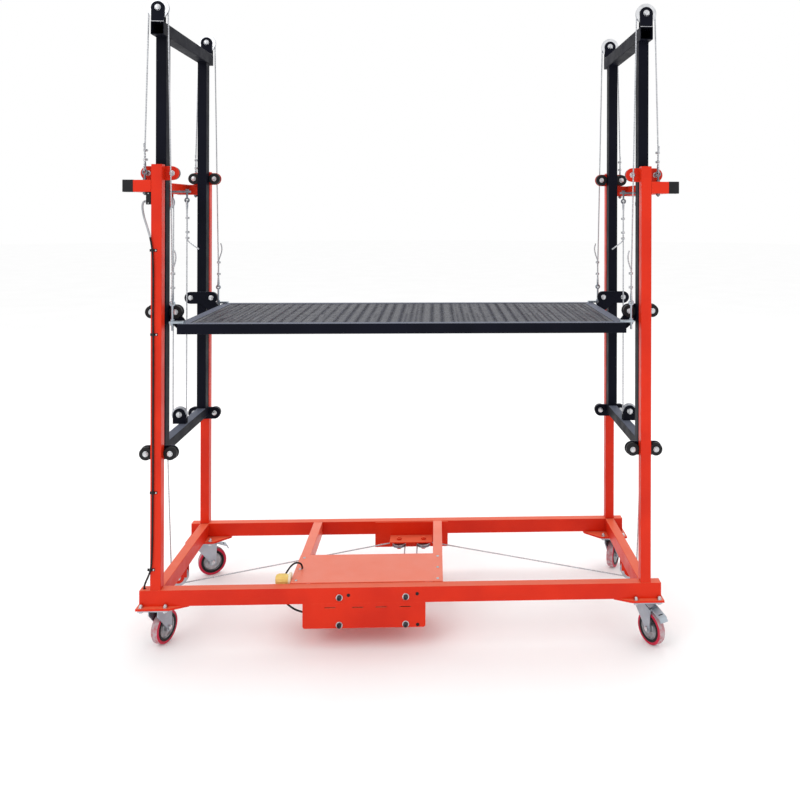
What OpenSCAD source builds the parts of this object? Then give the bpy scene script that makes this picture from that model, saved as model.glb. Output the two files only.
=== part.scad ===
// Electric lifting scaffold: a wheeled base with four uprights, two sliding
// masts, one at each end, and a mesh work platform that climbs the masts.
// Millimetres, +Z up, origin on the floor under the middle of the base,
// +X to the right along the base, front at -Y.

/* [Base frame] */
// Length of the base, over the ends of the long beams
base_length = 2000; // [1650:10:2600]
// Width of the base, over the long beams
base_width = 700; // [580:10:900]
// Height of the base beams
beam_h = 60; // [50:1:80]
// Thickness of the base beams
beam_t = 40; // [34:1:50]
// Wall of every tube
tube_wall = 2.5; // [1.5:0.1:4]
// From the end of a long beam to the outer face of an upright
end_overhang = 40; // [20:1:60]
// Position of the left cross beam, to its middle
left_cross_x = -420; // [-520:5:-400]
// Position of the right cross beam, to its middle
right_cross_x = 132; // [125:1:220]

/* [Casters] */
// Diameter of the caster wheels
wheel_d = 125; // [100:1:150]
// Width of the caster wheels
wheel_w = 32; // [26:1:40]
// Offset of the wheel axle behind the swivel axis
caster_trail = 40; // [30:1:48]
// Diameter of the wheel axles
axle_d = 10; // [8:0.5:14]
// Thickness of the plate under each corner
corner_plate_t = 8; // [6:1:12]

/* [Uprights and head] */
// Width of the square uprights
upright_w = 40; // [32:1:50]
// Height of the uprights' tops above the floor
upright_top = 1858; // [1550:1:2300]
// Height of the outrigger arms
arm_h = 46; // [38:1:55]
// From the uprights' tops down to the arms
arm_drop = 60; // [56:1:90]
// Thickness of the tie tube between the two arms of one end
tie_t = 30; // [25:1:40]

/* [Masts] */
// Thickness of a mast post, front to back
mast_t = 50; // [40:1:60]
// Height of a mast's bottom rail, underside above the floor
mast_bottom = 742; // [620:1:900]
// Height of a mast's top rail, underside above the floor
mast_top = 2352; // [2250:1:2900]

/* [Platform] */
// Height of the deck above the floor
deck_z = 1250; // [1100:1:1450]
// Size of the platform's square tubes
platform_tube = 40; // [34:1:50]
// Thickness of the mesh deck
deck_t = 3; // [2:0.5:6]

/* [Rollers, pulleys and ropes] */
// Diameter of the guide rollers
roller_d = 50; // [41:1:60]
// Width of the guide rollers
roller_w = 20; // [16:1:22]
// Gap between a guide roller and the face it runs on
roller_gap = 1; // [0.5:0.1:2]
// Diameter of the steel wire ropes
rope_d = 5; // [4:0.5:6]
// Pitch radius of the pulleys on top of the masts
mast_pulley_r = 36; // [34:1:44]
// Pitch radius of the pulleys that lift the masts, and of the top pulleys
lift_pulley_r = 28; // [26:1:32]
// Pitch radius of the pulleys under the base
base_pulley_r = 33; // [30:1:36]
// Radius of the winch drum at the rope's middle
drum_r = 30; // [26:1:33]

/* [Hidden] */
$fn = 48;

// Clearances and sheet thicknesses
run_gap = 0.08;
side_gap = 1;
sheet = 5;
cheek_t = 3;
pin_d = 12;
roller_pin_d = 10;
rope_r = rope_d / 2;
groove_gap = 0.3;

// Base
half_l = base_length / 2;
half_w = base_width / 2;
post_x = half_l - end_overhang - upright_w / 2;
post_y = half_w - upright_w / 2;
plate_x = 126;
plate_y = 125;
plate_reach = 65;
swivel_x = half_l + 8 - plate_x / 2;
swivel_y = half_w + 20 - plate_y / 2;
caster_plate_t = 5;
caster_h = wheel_d + 45;
beam_z0 = caster_h + corner_plate_t;
beam_z1 = beam_z0 + beam_h;
bolt_dx = 45.5;
bolt_dy = 51;
bolt_d = 10;
bolt_head_d = 15;
bolt_head_h = 6;
cross_w = 40;

// Casters: the angle each fork stands at, the pin and the head
caster_turns = [[-1, -1, 70], [1, -1, -62], [-1, 1, 25], [1, 1, 62]];
wheel_r = wheel_d / 2;
king_d = 16;
crown_gap = 0.3;
crown_h = 14;
fork_sheet = 4;
leg_gap = 3;
pedal_pin_x = caster_trail + 8;
pedal_pin_z = wheel_d + 11;
pedal_pin_d = 6;

// Guide rollers: where their axes stand, seen from the front
roller_x = upright_w / 2 + roller_gap + roller_d / 2;
lobe_r = roller_d / 2 + 2;
mast_gap = 10;
mast_out_y = half_w - upright_w - mast_gap;
mast_in_y = mast_out_y - mast_t;
upper_plate_y = half_w - upright_w - sheet;
upper_roller_y = upper_plate_y - 2 - roller_w;
lower_roller_y = mast_out_y + sheet + 2;
platform_plate_y = mast_in_y - mast_gap;
platform_roller_y = platform_plate_y + sheet + 2;
upper_roller_z = upright_top - 33;
lower_roller_z = mast_bottom + 8;
platform_roller_z = deck_z + 35;

// Head: arms, tie tubes and the pulleys hung from them
arm_z1 = upright_top - arm_drop;
arm_z0 = arm_z1 - arm_h;
tie_x = post_x + roller_x + lobe_r + 1;
arm_x1 = tie_x + tie_t;
cap_len = 24;
cap_plug = 20;

// Pulleys: flange, groove and bore
flange_h = 4;
pulley_w = 14;
groove_w = 5.8;
wide_pulley_w = 26;
wide_groove_w = 17;
mast_rail = 50;
mast_pulley_z = mast_top + mast_rail + mast_pulley_r + flange_h + 12;
rope_y = post_y;
lift_x = post_x + 18;
lift_z = mast_bottom + upright_w + lift_pulley_r + flange_h + 6;
top_pulley_x = lift_x + 2 * lift_pulley_r;
top_pulley_z = arm_z0 - lift_pulley_r - flange_h - 6;
base_pulley_x = post_x + 18;
base_pulley_z = beam_z0 - base_pulley_r - flange_h - 4;
anchor_x = lift_x - lift_pulley_r;
arm_eye_x = post_x + upright_w / 2 + 30;
eye_r = 8;
eye_wire = 3.5;

// Platform
platform_end = post_x - roller_x - lobe_r - 5;
deck_end = platform_end - platform_tube;
deck_half_w = half_w - platform_tube;
cross_bar_h = platform_tube - deck_t - 2;
platform_z0 = deck_z - platform_tube;
cross_bar_xs = [-0.5, 0, 0.5];
tab_x = platform_end + 23;
tab_t = 8;
platform_eye_z = deck_z + 75;

// Winch bay
drum_x0 = -45;
drum_x1 = 70;
winch_y = -half_w + 160;
winch_z = beam_z0 + 7;
drum_flange_r = drum_r + 12;
guide_r = lift_pulley_r;
guide_xs = [-43, 68];
guide_y = half_w - 95;
guide_z = winch_z - drum_r;
box_x0 = -385;
box_x1 = 85;
box_z0 = caster_h - 87;
box_sheet = 4;
winch_bolt_xs = [-245, 9];
winch_bolt_zs = [beam_z0 + 22, box_z0 + 12];
motor_r = 46;

// Cables: round points along the routes, chosen by hand
cable_r = 3.5;
cable_hole = [-987, -330];
control_route = [
    [-988.3, -330, 1716], [-991, -330, 1716], [-996, -331.5, 1711], [-998, -333, 1700],
    [-996, -336, 1683], [-988, -343, 1655], [-974, -350, 1620], [-961, -354.5, 1580],
    [-952, -354.5, 1530], [-949, -354, 1450], [-950, -354, 1300], [-948, -354, 1120],
    [-949, -354, 900], [-948, -354, 700], [-949, -354, 560], [-950, -354, 420],
    [-953, -354, 330], [-962, -354.5, 300], [-977, -345, 270], [-986, -335, 250],
    [cable_hole[0], cable_hole[1], 235], [-980, -330, 220], [-955, -330, 208], [-900, -330, 206],
    [-700, -330, 205], [-520, -330, 205], [-480, -330, 200], [-461, -330, 186],
    [-450, -328, 172], [-436, -322, 156], [-415, -314, 138], [-384, -306, 124]];
lead_route = [
    [-470, -252, 240], [-470, -236, 243], [-462, -222, 254], [-450, -214, 268],
    [-436, -210, 276], [-422, -206, 274], [-414, -200, 266], [-412, -192, 254],
    [-412, -186, 243.2]];

red = [0.83, 0.14, 0.05];
black = [0.06, 0.06, 0.07];
zinc = [0.68, 0.70, 0.73];
wine = [0.60, 0.06, 0.12];

// ---- shared shapes ----

// Repeats its children at both ends, drawn at +X
module both_ends() {
    children();
    mirror([1, 0, 0]) children();
}

// Repeats its children at the front and the back, drawn at +Y
module front_and_back() {
    children();
    mirror([0, 1, 0]) children();
}

// Places its children at one end: side is -1 for left and 1 for right
module at_end(side) {
    mirror([side < 0 ? 1 : 0, 0, 0]) children();
}

// A box given by its low and high corners
module block(low, high) {
    translate(low) cube(high - low);
}

// A rectangular tube filling a box, open at both ends along the named axis
module tube(low, high, axis) {
    inset = [for (i = [0:2]) i == axis ? -1 : tube_wall];
    difference() {
        block(low, high);
        block(low + inset, high - inset);
    }
}

// A plate in the XZ plane, from y0 towards +Y
module upright_plate(y0, thickness) {
    translate([0, y0 + thickness, 0]) rotate([90, 0, 0]) linear_extrude(thickness) children();
}

// A cylinder along Y from y0 to y1
module rod_y(x, z, d, y0, y1) {
    translate([x, y1, z]) rotate([90, 0, 0]) cylinder(d = d, h = y1 - y0);
}

// A hexagon head or nut along Y
module hex_y(x, z, across, y0, y1) {
    translate([x, y1, z]) rotate([90, 0, 0]) cylinder(d = across / cos(30), h = y1 - y0, $fn = 6);
}

// A straight piece of rope from one point to another
module rope_run(from, to) {
    step = to - from;
    length = norm(step);
    translate(from)
        rotate([0, acos(step[2] / length), atan2(step[1], step[0])])
            cylinder(r = rope_r, h = length, $fn = 24);
}

// A grooved pulley round the Z axis, with its bore
module pulley(pitch_r, width, groove, bore_d) {
    bore_r = bore_d / 2 + run_gap;
    rim_r = pitch_r + flange_h;
    floor_r = pitch_r - rope_r - groove_gap;
    rotate_extrude($fn = 64)
        polygon([
            [bore_r, -width / 2], [rim_r, -width / 2], [rim_r, -groove / 2 - 1],
            [floor_r, -groove / 2], [floor_r, groove / 2], [rim_r, groove / 2 + 1],
            [rim_r, width / 2], [bore_r, width / 2]]);
}

// A pulley whose axis runs along Y
module pulley_y(x, y, z, pitch_r, width, groove) {
    translate([x, y, z]) rotate([90, 0, 0]) pulley(pitch_r, width, groove, pin_d);
}

// Two cheeks with a pin, holding a pulley whose axis runs along Y. The cheeks
// reach from the pulley's middle to foot_z, between foot_x0 and foot_x1.
module yoke(x, y, z, width, foot_x0, foot_x1, foot_z, round_r) {
    inner = width / 2 + side_gap;
    for (face = [-inner - cheek_t, inner]) {
        difference() {
            upright_plate(y + face, cheek_t) union() {
                translate([x, z]) circle(round_r);
                translate([foot_x0, min(z, foot_z)])
                    square([foot_x1 - foot_x0, abs(foot_z - z)]);
            }
            rod_y(x, z, pin_d, y + face - 1, y + face + cheek_t + 1);
        }
    }
    rod_y(x, z, pin_d, y - inner - cheek_t, y + inner + cheek_t);
    hex_y(x, z, pin_d + 6, y - inner - cheek_t - 6, y - inner - cheek_t);
    hex_y(x, z, pin_d + 6, y + inner + cheek_t, y + inner + cheek_t + 6);
}

// A bar with a round lobe about each of two rollers, in the XZ plane
module lobed_bar(x, z) {
    for (side = [-1, 1]) translate([x + side * roller_x, z]) circle(lobe_r);
    translate([x - roller_x, z - lobe_r]) square([2 * roller_x, 2 * lobe_r]);
}

// A guide roller with its bore, along Y from y0
module roller(x, z, y0) {
    difference() {
        rod_y(x, z, roller_d, y0, y0 + roller_w);
        rod_y(x, z, roller_pin_d + 2 * run_gap, y0 - 1, y0 + roller_w + 1);
    }
}

// The pin a roller turns on, with a head at each end
module roller_pin(x, z, y0, y1) {
    rod_y(x, z, roller_pin_d, y0, y1);
    hex_y(x, z, 16, y0 - 5, y0);
    hex_y(x, z, 16, y1, y1 + 4);
}

// An eye bolt along Z with its ring at the top
module eye_bolt(x, y, z_ring, z_low) {
    translate([x, y, z_ring]) rotate([90, 0, 0]) rotate_extrude() translate([eye_r, 0]) circle(eye_wire, $fn = 24);
    translate([x, y, z_low]) cylinder(d = 8, h = z_ring - eye_r - z_low);
}

// ---- base ----

// Long beam, with the holes for the winch bolts and for the control cable, and two small ones
module front_beam() {
    color(red)
        difference() {
            tube([-half_l, -half_w, beam_z0], [half_l, -half_w + beam_t, beam_z1], 0);
            for (x = winch_bolt_xs)
                rod_y(x, winch_bolt_zs[0], bolt_d + 1, -half_w - 1, -half_w + beam_t + 1);
            for (p = [[-210, beam_z0 + 31], [53, beam_z0 + 33]])
                rod_y(p[0], p[1], 7, -half_w - 1, -half_w + tube_wall + 1);
            translate([cable_hole[0], cable_hole[1], beam_z1 - 10]) cylinder(r = cable_r + 4, h = 20);
            translate([-456, -329, beam_z0 - 5]) cylinder(r = cable_r + 7, h = 10);
        }
}

module back_beam() {
    color(red) tube([-half_l, half_w - beam_t, beam_z0], [half_l, half_w, beam_z1], 0);
}

module side_beams() {
    color(red) both_ends()
        tube([post_x - beam_t / 2, -half_w + beam_t, beam_z0], [post_x + beam_t / 2, half_w - beam_t, beam_z1], 1);
}

module cross_beams() {
    color(red) for (x = [left_cross_x, right_cross_x])
        tube([x - cross_w / 2, -half_w + beam_t, beam_z0], [x + cross_w / 2, half_w - beam_t, beam_z1], 1);
}

// Holes of one caster's bolt pattern, about its swivel axis
module caster_bolt_places() {
    for (dx = [-bolt_dx, bolt_dx])
        for (dy = [-bolt_dy, bolt_dy])
            translate([dx, dy, 0]) children();
}

// Square plates under the corners, with a tongue that runs in under the long beam
module corner_plates() {
    color(red) both_ends() front_and_back() translate([swivel_x, swivel_y, caster_h])
        difference() {
            linear_extrude(corner_plate_t) polygon([
                [plate_x / 2, plate_y / 2], [-plate_x / 2, plate_y / 2],
                [-plate_x / 2 - plate_reach, half_w - swivel_y - 12],
                [-plate_x / 2 - plate_reach, half_w - swivel_y - beam_t],
                [-plate_x / 2, -plate_y / 2], [plate_x / 2, -plate_y / 2]]);
            caster_bolt_places() translate([0, 0, -1]) cylinder(d = bolt_d, h = corner_plate_t + 2);
        }
}

// The casters' own top plates, each with its king pin
module caster_plates() {
    color(zinc) both_ends() front_and_back() translate([swivel_x, swivel_y, caster_h - caster_plate_t]) {
        difference() {
            translate([-56, -60, 0]) cube([112, 120, caster_plate_t]);
            caster_bolt_places() translate([0, 0, -1]) cylinder(d = bolt_d, h = caster_plate_t + 2);
        }
        translate([0, 0, -crown_h]) cylinder(d = king_d, h = crown_h);
    }
}

// Caster bolts and the four bolts that hold the winch to the front beam
module hex_bolts() {
    color(zinc) {
        both_ends() front_and_back() translate([swivel_x, swivel_y, 0]) caster_bolt_places() {
            translate([0, 0, caster_h - caster_plate_t]) cylinder(d = bolt_d, h = caster_plate_t + corner_plate_t);
            translate([0, 0, caster_h + corner_plate_t]) cylinder(d = bolt_head_d, h = bolt_head_h, $fn = 6);
            translate([0, 0, caster_h - caster_plate_t - bolt_head_h])
                cylinder(d = bolt_head_d, h = bolt_head_h, $fn = 6);
        }
        for (x = winch_bolt_xs)
            for (z = winch_bolt_zs) {
                rod_y(x, z, bolt_d, -half_w - 2, -half_w + beam_t + 1);
                rod_y(x, z, 26, -half_w - 2, -half_w);
                rod_y(x, z, 16, -half_w - 10, -half_w - 2);
            }
    }
}

module front_uprights() {
    color(red) both_ends()
        tube([post_x - upright_w / 2, -half_w, beam_z1], [post_x + upright_w / 2, -half_w + upright_w, upright_top], 2);
}

module back_uprights() {
    color(red) both_ends()
        tube([post_x - upright_w / 2, half_w - upright_w, beam_z1], [post_x + upright_w / 2, half_w, upright_top], 2);
}

// Arms that reach out past the uprights, and the tube that ties each pair
module head_tubes() {
    color(red) both_ends() {
        front_and_back()
            difference() {
                tube([post_x + upright_w / 2, half_w - upright_w, arm_z0], [arm_x1, half_w, arm_z1], 0);
                translate([arm_eye_x, rope_y, arm_z0 - 1]) cylinder(d = 8.4, h = arm_h + 2);
            }
        tube([tie_x, -half_w + upright_w, arm_z0], [arm_x1, half_w - upright_w, arm_z1], 1);
    }
}

module arm_end_caps() {
    color(black) both_ends() front_and_back() {
        block([arm_x1, half_w - upright_w, arm_z0], [arm_x1 + cap_len, half_w, arm_z1]);
        block([arm_x1 - cap_plug, half_w - upright_w + tube_wall, arm_z0 + tube_wall],
            [arm_x1, half_w - tube_wall, arm_z1 - tube_wall]);
    }
}

// Lobed plates near the uprights' tops, with the pins of their rollers
module upper_roller_plates() {
    color(red) both_ends() front_and_back() {
        difference() {
            upright_plate(upper_plate_y, sheet) lobed_bar(post_x, upper_roller_z);
            for (side = [-1, 1])
                rod_y(post_x + side * roller_x, upper_roller_z, roller_pin_d, upper_plate_y - 1, half_w);
        }
        for (side = [-1, 1])
            roller_pin(post_x + side * roller_x, upper_roller_z, upper_roller_y - side_gap, upper_plate_y + sheet);
    }
}

module upper_rollers() {
    color(black) both_ends() front_and_back() for (side = [-1, 1])
        roller(post_x + side * roller_x, upper_roller_z, upper_roller_y);
}

// Yokes of the top pulleys under the tie tubes and of the pulleys under the base
module pulley_brackets() {
    color(red) both_ends() {
        yoke(top_pulley_x, 0, top_pulley_z, pulley_w, top_pulley_x - 24, arm_x1, arm_z0, 24);
        yoke(base_pulley_x, 0, base_pulley_z, wide_pulley_w, post_x - beam_t / 2 + 2, base_pulley_x + 25, beam_z0, 25);
    }
}

// Plate on the back beam, with a shelf and two upright pins for the guide pulleys
module guide_pulley_plate() {
    face_y = half_w - beam_t - sheet;
    shelf_z = guide_z + pulley_w / 2 + 8;
    color(red) {
        block([-156, face_y, box_z0 + 38], [left_of_cross(right_cross_x), face_y + sheet, beam_z1 - 3]);
        block([right_of_cross(right_cross_x), face_y, box_z0 + 38], [180, face_y + sheet, beam_z1 - 3]);
        block([left_of_cross(right_cross_x), face_y, box_z0 + 38],
            [right_of_cross(right_cross_x), face_y + sheet, beam_z0]);
        difference() {
            block([-85, guide_y - 32, shelf_z], [108, face_y, shelf_z + sheet]);
            for (x = guide_xs) translate([x, guide_y, shelf_z - 1]) cylinder(d = pin_d, h = sheet + 2);
        }
        for (x = guide_xs) {
            translate([x, guide_y, guide_z - 20]) cylinder(d = pin_d, h = shelf_z + sheet + 12 - guide_z + 20);
            translate([x, guide_y, shelf_z + sheet]) cylinder(d = 22, h = 8, $fn = 6);
            translate([x, guide_y, guide_z - 20]) cylinder(d = 22, h = 12, $fn = 6);
        }
    }
}

function left_of_cross(x) = x - cross_w / 2;
function right_of_cross(x) = x + cross_w / 2;

// Eye bolts through the arms, and the lugs that hold the fixed rope ends
module rope_anchors() {
    color(zinc) both_ends() {
        front_and_back() {
            eye_bolt(arm_eye_x, rope_y, arm_z1 + 30, arm_z0 - 12);
            translate([arm_eye_x, rope_y, arm_z0 - 8]) cylinder(d = 16, h = 8, $fn = 6);
            translate([arm_eye_x, rope_y, arm_z1]) cylinder(d = 16, h = 7, $fn = 6);
        }
        block([anchor_x - 12, -15, arm_z0 + 4], [tie_x, 15, arm_z0 + 12]);
        translate([anchor_x, 0, arm_z0 + 12]) cylinder(d = 16, h = 7, $fn = 6);
        translate([anchor_x, 0, arm_z0 - 20]) cylinder(d = 8, h = 24);
        translate([anchor_x, 0, arm_z0 - 28]) rotate([90, 0, 0])
            rotate_extrude() translate([eye_r, 0]) circle(eye_wire, $fn = 24);
    }
}

// Front plate flush with the beam, and an open tray behind it under the winch
module winch_housing() {
    back_y = -half_w + 290;
    corner_r = 10;
    tray_x0 = box_x0 + 3;
    tray_x1 = box_x1 - 3;
    tray_z0 = box_z0 + 3;
    color(red) {
        difference() {
            union() {
                block([box_x0, -half_w, box_z0 + corner_r], [box_x1, -half_w + box_sheet, beam_z0]);
                block([box_x0 + corner_r, -half_w, box_z0], [box_x1 - corner_r, -half_w + box_sheet, beam_z0]);
                for (x = [box_x0 + corner_r, box_x1 - corner_r])
                    rod_y(x, box_z0 + corner_r, 2 * corner_r, -half_w, -half_w + box_sheet);
            }
            for (x = winch_bolt_xs) rod_y(x, winch_bolt_zs[1], bolt_d + 1, -half_w - 1, -half_w + box_sheet + 1);
            for (x = [-302, -196, -106, -14])
                block([x, -half_w - 1, beam_z0 - 18], [x + 42, -half_w + box_sheet + 1, beam_z0 - 14]);
            rod_y(55, box_z0 + 10, 7, -half_w - 1, -half_w + box_sheet + 1);
        }
        block([tray_x0, -half_w + box_sheet, tray_z0], [tray_x1, back_y, tray_z0 + 2]);
        block([tray_x0, -half_w + box_sheet, tray_z0 + 2], [tray_x0 + 2, back_y, beam_z0]);
        block([tray_x1 - 2, -half_w + box_sheet, tray_z0 + 2], [tray_x1, back_y, beam_z0]);
        block([tray_x0 + 2, back_y - 2, tray_z0 + 2], [tray_x1 - 2, back_y, guide_z - 15]);
    }
}

module winch_cover() {
    color(red)
        block([left_of_cross(left_cross_x), -half_w + beam_t, beam_z1],
            [right_of_cross(right_cross_x), -half_w + 295, beam_z1 + 3]);
}

// Motor, gearbox and shaft, with the straps that bolt to the front beam
module winch_motor() {
    strap_y = -half_w + beam_t + 1;
    end_x = drum_x1 + side_gap;
    color([0.25, 0.27, 0.30]) {
        translate([-330, winch_y, winch_z]) rotate([0, 90, 0]) cylinder(r = motor_r, h = 232);
        block([-98, winch_y - 50, winch_z - 49], [drum_x0 - side_gap, winch_y + 50, winch_z + 49]);
        translate([drum_x0 - side_gap, winch_y, winch_z]) rotate([0, 90, 0])
            cylinder(d = 16, h = end_x + 6 - drum_x0 + side_gap);
        block([end_x, strap_y, winch_z - 45], [end_x + 6, winch_y + 40, winch_z + 45]);
        block([winch_bolt_xs[1] - 20, strap_y, box_z0 + 6], [end_x + 6, strap_y + sheet, beam_z1 - 2]);
        difference() {
            block([winch_bolt_xs[0] - 20, strap_y, box_z0 + 6], [winch_bolt_xs[0] + 20, strap_y + sheet, beam_z1 - 2]);
            translate([-330, winch_y, winch_z]) rotate([0, 90, 0]) cylinder(r = motor_r, h = 232);
        }
        block([winch_bolt_xs[0] - 20, strap_y + sheet, winch_z - 10],
            [winch_bolt_xs[0] + 20, winch_y - 30, winch_z + 10]);
    }
}

module limit_switch() {
    face_x = -post_x - upright_w / 2;
    color(black) {
        block([face_x - 21, -half_w + 5, arm_z0 - 48], [face_x - 1, -half_w + 35, arm_z0]);
        translate([face_x - 28, -half_w + 20, arm_z0 - 36]) rotate([0, 90, 0]) cylinder(d = 11, h = 7);
    }
}

// A round tube swept along a list of points
module swept_tube(route, r) {
    sides = 8;
    last = len(route) - 1;
    function direction(i) = let (d = route[min(i + 1, last)] - route[max(i - 1, 0)]) d / norm(d);
    function across(d) = let (c = cross(d, abs(d[1]) > 0.9 ? [1, 0, 0] : [0, 1, 0])) c / norm(c);
    points = [
        for (i = [0:last])
            let (d = direction(i), u = across(d), v = cross(d, u))
                for (k = [0:sides - 1])
                    route[i] + r * (cos(k * 360 / sides) * u + sin(k * 360 / sides) * v)];
    walls = [
        for (i = [0:last - 1])
            for (k = [0:sides - 1])
                [i * sides + k, (i + 1) * sides + k, (i + 1) * sides + (k + 1) % sides, i * sides + (k + 1) % sides]];
    start = [for (k = [0:sides - 1]) k];
    finish = [for (k = [sides - 1:-1:0]) last * sides + k];
    polyhedron(points, concat([start], walls, [finish]));
}

module cables() {
    color(black) {
        swept_tube(control_route, cable_r);
        swept_tube(lead_route, cable_r);
    }
}

module lead_connector() {
    color([0.90, 0.75, 0.10]) {
        translate([left_of_cross(left_cross_x) - 60, -half_w + 74, beam_z1 + 2]) rotate([0, 90, 0]) cylinder(d = 44, h = 52);
        translate([left_of_cross(left_cross_x) - 8, -half_w + 74, beam_z1 + 2]) rotate([0, 90, 0]) cylinder(d = 52, h = 8);
    }
}

// ---- ropes ----

// The runs whose ends stay with the base: drum to guide pulleys, along to the
// base pulleys, up to the top pulleys, and the two fixed strands of each end
module base_ropes() {
    color(zinc) {
        for (side = [-1, 1]) {
            guide_x = side < 0 ? guide_xs[0] : guide_xs[1];
            turn = atan2(guide_y + guide_r, base_pulley_x - abs(guide_x));
            inner_x = guide_x - side * guide_r;
            leave = [guide_x + side * guide_r * sin(turn), guide_y + guide_r * cos(turn), guide_z];
            rope_run([inner_x, winch_y, guide_z], [inner_x, guide_y, guide_z]);
            rope_run(leave, [side * base_pulley_x, 0, base_pulley_z - base_pulley_r]);
        }
        both_ends() {
            rope_run([base_pulley_x + base_pulley_r, 0, base_pulley_z],
                [top_pulley_x + lift_pulley_r, 0, top_pulley_z]);
            rope_run([lift_x + lift_pulley_r, 0, lift_z], [lift_x + lift_pulley_r, 0, top_pulley_z]);
            rope_run([anchor_x, 0, lift_z], [anchor_x, 0, arm_z0 - 45]);
            front_and_back()
                rope_run([arm_eye_x, rope_y, arm_z1 + 48], [post_x + mast_pulley_r, rope_y, mast_pulley_z]);
        }
    }
}

// ---- masts ----

module mast_frame(side) {
    low = mast_bottom;
    color(black) at_end(side) {
        front_and_back()
            tube([post_x - upright_w / 2, mast_in_y, low], [post_x + upright_w / 2, mast_out_y, mast_top], 2);
        tube([post_x - upright_w / 2, -mast_in_y, low], [post_x + upright_w / 2, mast_in_y, low + upright_w], 1);
        tube([post_x - mast_rail / 2, -rope_y - 15, mast_top], [post_x + mast_rail / 2, rope_y + 15, mast_top + mast_rail], 1);
    }
}

// Plates at a mast's foot, with the pins of the rollers that run on the uprights
module mast_roller_plates(side) {
    color(black) at_end(side) front_and_back() {
        difference() {
            upright_plate(mast_out_y, sheet) lobed_bar(post_x, lower_roller_z);
            for (s = [-1, 1])
                rod_y(post_x + s * roller_x, lower_roller_z, roller_pin_d, mast_out_y - 1, mast_out_y + sheet + 1);
        }
        for (s = [-1, 1])
            roller_pin(post_x + s * roller_x, lower_roller_z, mast_out_y, lower_roller_y + roller_w + side_gap);
    }
}

module mast_rollers(side) {
    color(black) at_end(side) front_and_back() for (s = [-1, 1])
        roller(post_x + s * roller_x, lower_roller_z, lower_roller_y);
}

module mast_brackets(side) {
    rail_top = mast_top + mast_rail;
    color(black) at_end(side) {
        front_and_back()
            yoke(post_x, rope_y, mast_pulley_z, pulley_w, post_x - mast_rail / 2, post_x + mast_rail / 2, rail_top, 26);
        yoke(lift_x, 0, lift_z, pulley_w, post_x - 12, lift_x + 26, mast_bottom + upright_w, 26);
    }
}

module mast_pulleys(side) {
    color(black) at_end(side) front_and_back()
        pulley_y(post_x, rope_y, mast_pulley_z, mast_pulley_r, pulley_w, groove_w);
}

module lift_pulley(side) {
    color(black) at_end(side) pulley_y(lift_x, 0, lift_z, lift_pulley_r, pulley_w, groove_w);
}

module top_pulley(side) {
    color(black) at_end(side) pulley_y(top_pulley_x, 0, top_pulley_z, lift_pulley_r, pulley_w, groove_w);
}

module base_pulley(side) {
    color(zinc) at_end(side)
        pulley_y(base_pulley_x, 0, base_pulley_z, base_pulley_r, wide_pulley_w, wide_groove_w);
}

module guide_pulley(x) {
    color(zinc) translate([x, guide_y, guide_z]) pulley(guide_r, pulley_w, groove_w + 1.6, pin_d);
}

// Drum between two flanges, bored for the winch shaft
module winch_drum() {
    bore_r = 8 + run_gap;
    length = drum_x1 - drum_x0;
    core_r = drum_r - rope_r - groove_gap;
    color(zinc) translate([drum_x0, winch_y, winch_z]) rotate([0, 90, 0]) rotate_extrude($fn = 64)
        polygon([
            [bore_r, 0], [drum_flange_r, 0], [drum_flange_r, 4], [core_r, 4],
            [core_r, length - 4], [drum_flange_r, length - 4], [drum_flange_r, length], [bore_r, length]]);
}

// ---- platform ----

module platform_frame() {
    color(black) {
        front_and_back()
            tube([-platform_end, half_w - platform_tube, platform_z0], [platform_end, half_w, deck_z], 0);
        both_ends()
            tube([deck_end, -deck_half_w, platform_z0], [platform_end, deck_half_w, deck_z], 1);
        for (share = cross_bar_xs)
            translate([share * deck_end, 0, 0])
                tube([-15, -deck_half_w, platform_z0], [15, deck_half_w, platform_z0 + cross_bar_h], 1);
    }
}

// The mesh deck as one closed sheet, lying on the cross bars
module platform_deck() {
    z0 = platform_z0 + cross_bar_h;
    color(black) block([-deck_end, -deck_half_w, z0], [deck_end, deck_half_w, z0 + deck_t]);
}

// Plates welded to the platform's ends, with the pins of the rollers on the masts
module platform_roller_plates() {
    color(black) both_ends() front_and_back() {
        difference() {
            upright_plate(platform_plate_y, sheet) union() {
                lobed_bar(post_x, platform_roller_z);
                polygon([
                    [platform_end, platform_z0 + 3], [platform_end + 26, platform_z0 + 3],
                    [post_x, platform_roller_z - lobe_r], [post_x - roller_x - 5, platform_roller_z],
                    [platform_end, deck_z]]);
            }
            for (s = [-1, 1])
                rod_y(post_x + s * roller_x, platform_roller_z, roller_pin_d, platform_plate_y - 1, mast_in_y);
        }
        for (s = [-1, 1])
            roller_pin(post_x + s * roller_x, platform_roller_z, platform_plate_y, platform_roller_y + roller_w + side_gap);
    }
}

module platform_rollers() {
    color(black) both_ends() front_and_back() for (s = [-1, 1])
        roller(post_x + s * roller_x, platform_roller_z, platform_roller_y);
}

// Tabs on the platform's corners, each with an eye bolt for its rope
module platform_eye_bolts() {
    color(zinc) both_ends() front_and_back() {
        difference() {
            block([platform_end - 22, rope_y - 12, deck_z], [tab_x + 9, rope_y + 12, deck_z + tab_t]);
            translate([tab_x, rope_y, deck_z - 1]) cylinder(d = 8, h = tab_t + 2);
        }
        eye_bolt(tab_x, rope_y, platform_eye_z, deck_z - 28);
        translate([tab_x, rope_y, deck_z + tab_t]) cylinder(d = 15, h = 7, $fn = 6);
        translate([tab_x, rope_y, deck_z - 8]) cylinder(d = 15, h = 8, $fn = 6);
    }
}

module platform_ropes() {
    color(zinc) both_ends() front_and_back()
        rope_run([tab_x, rope_y, platform_eye_z + 18], [post_x - mast_pulley_r, rope_y, mast_pulley_z]);
}

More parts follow.
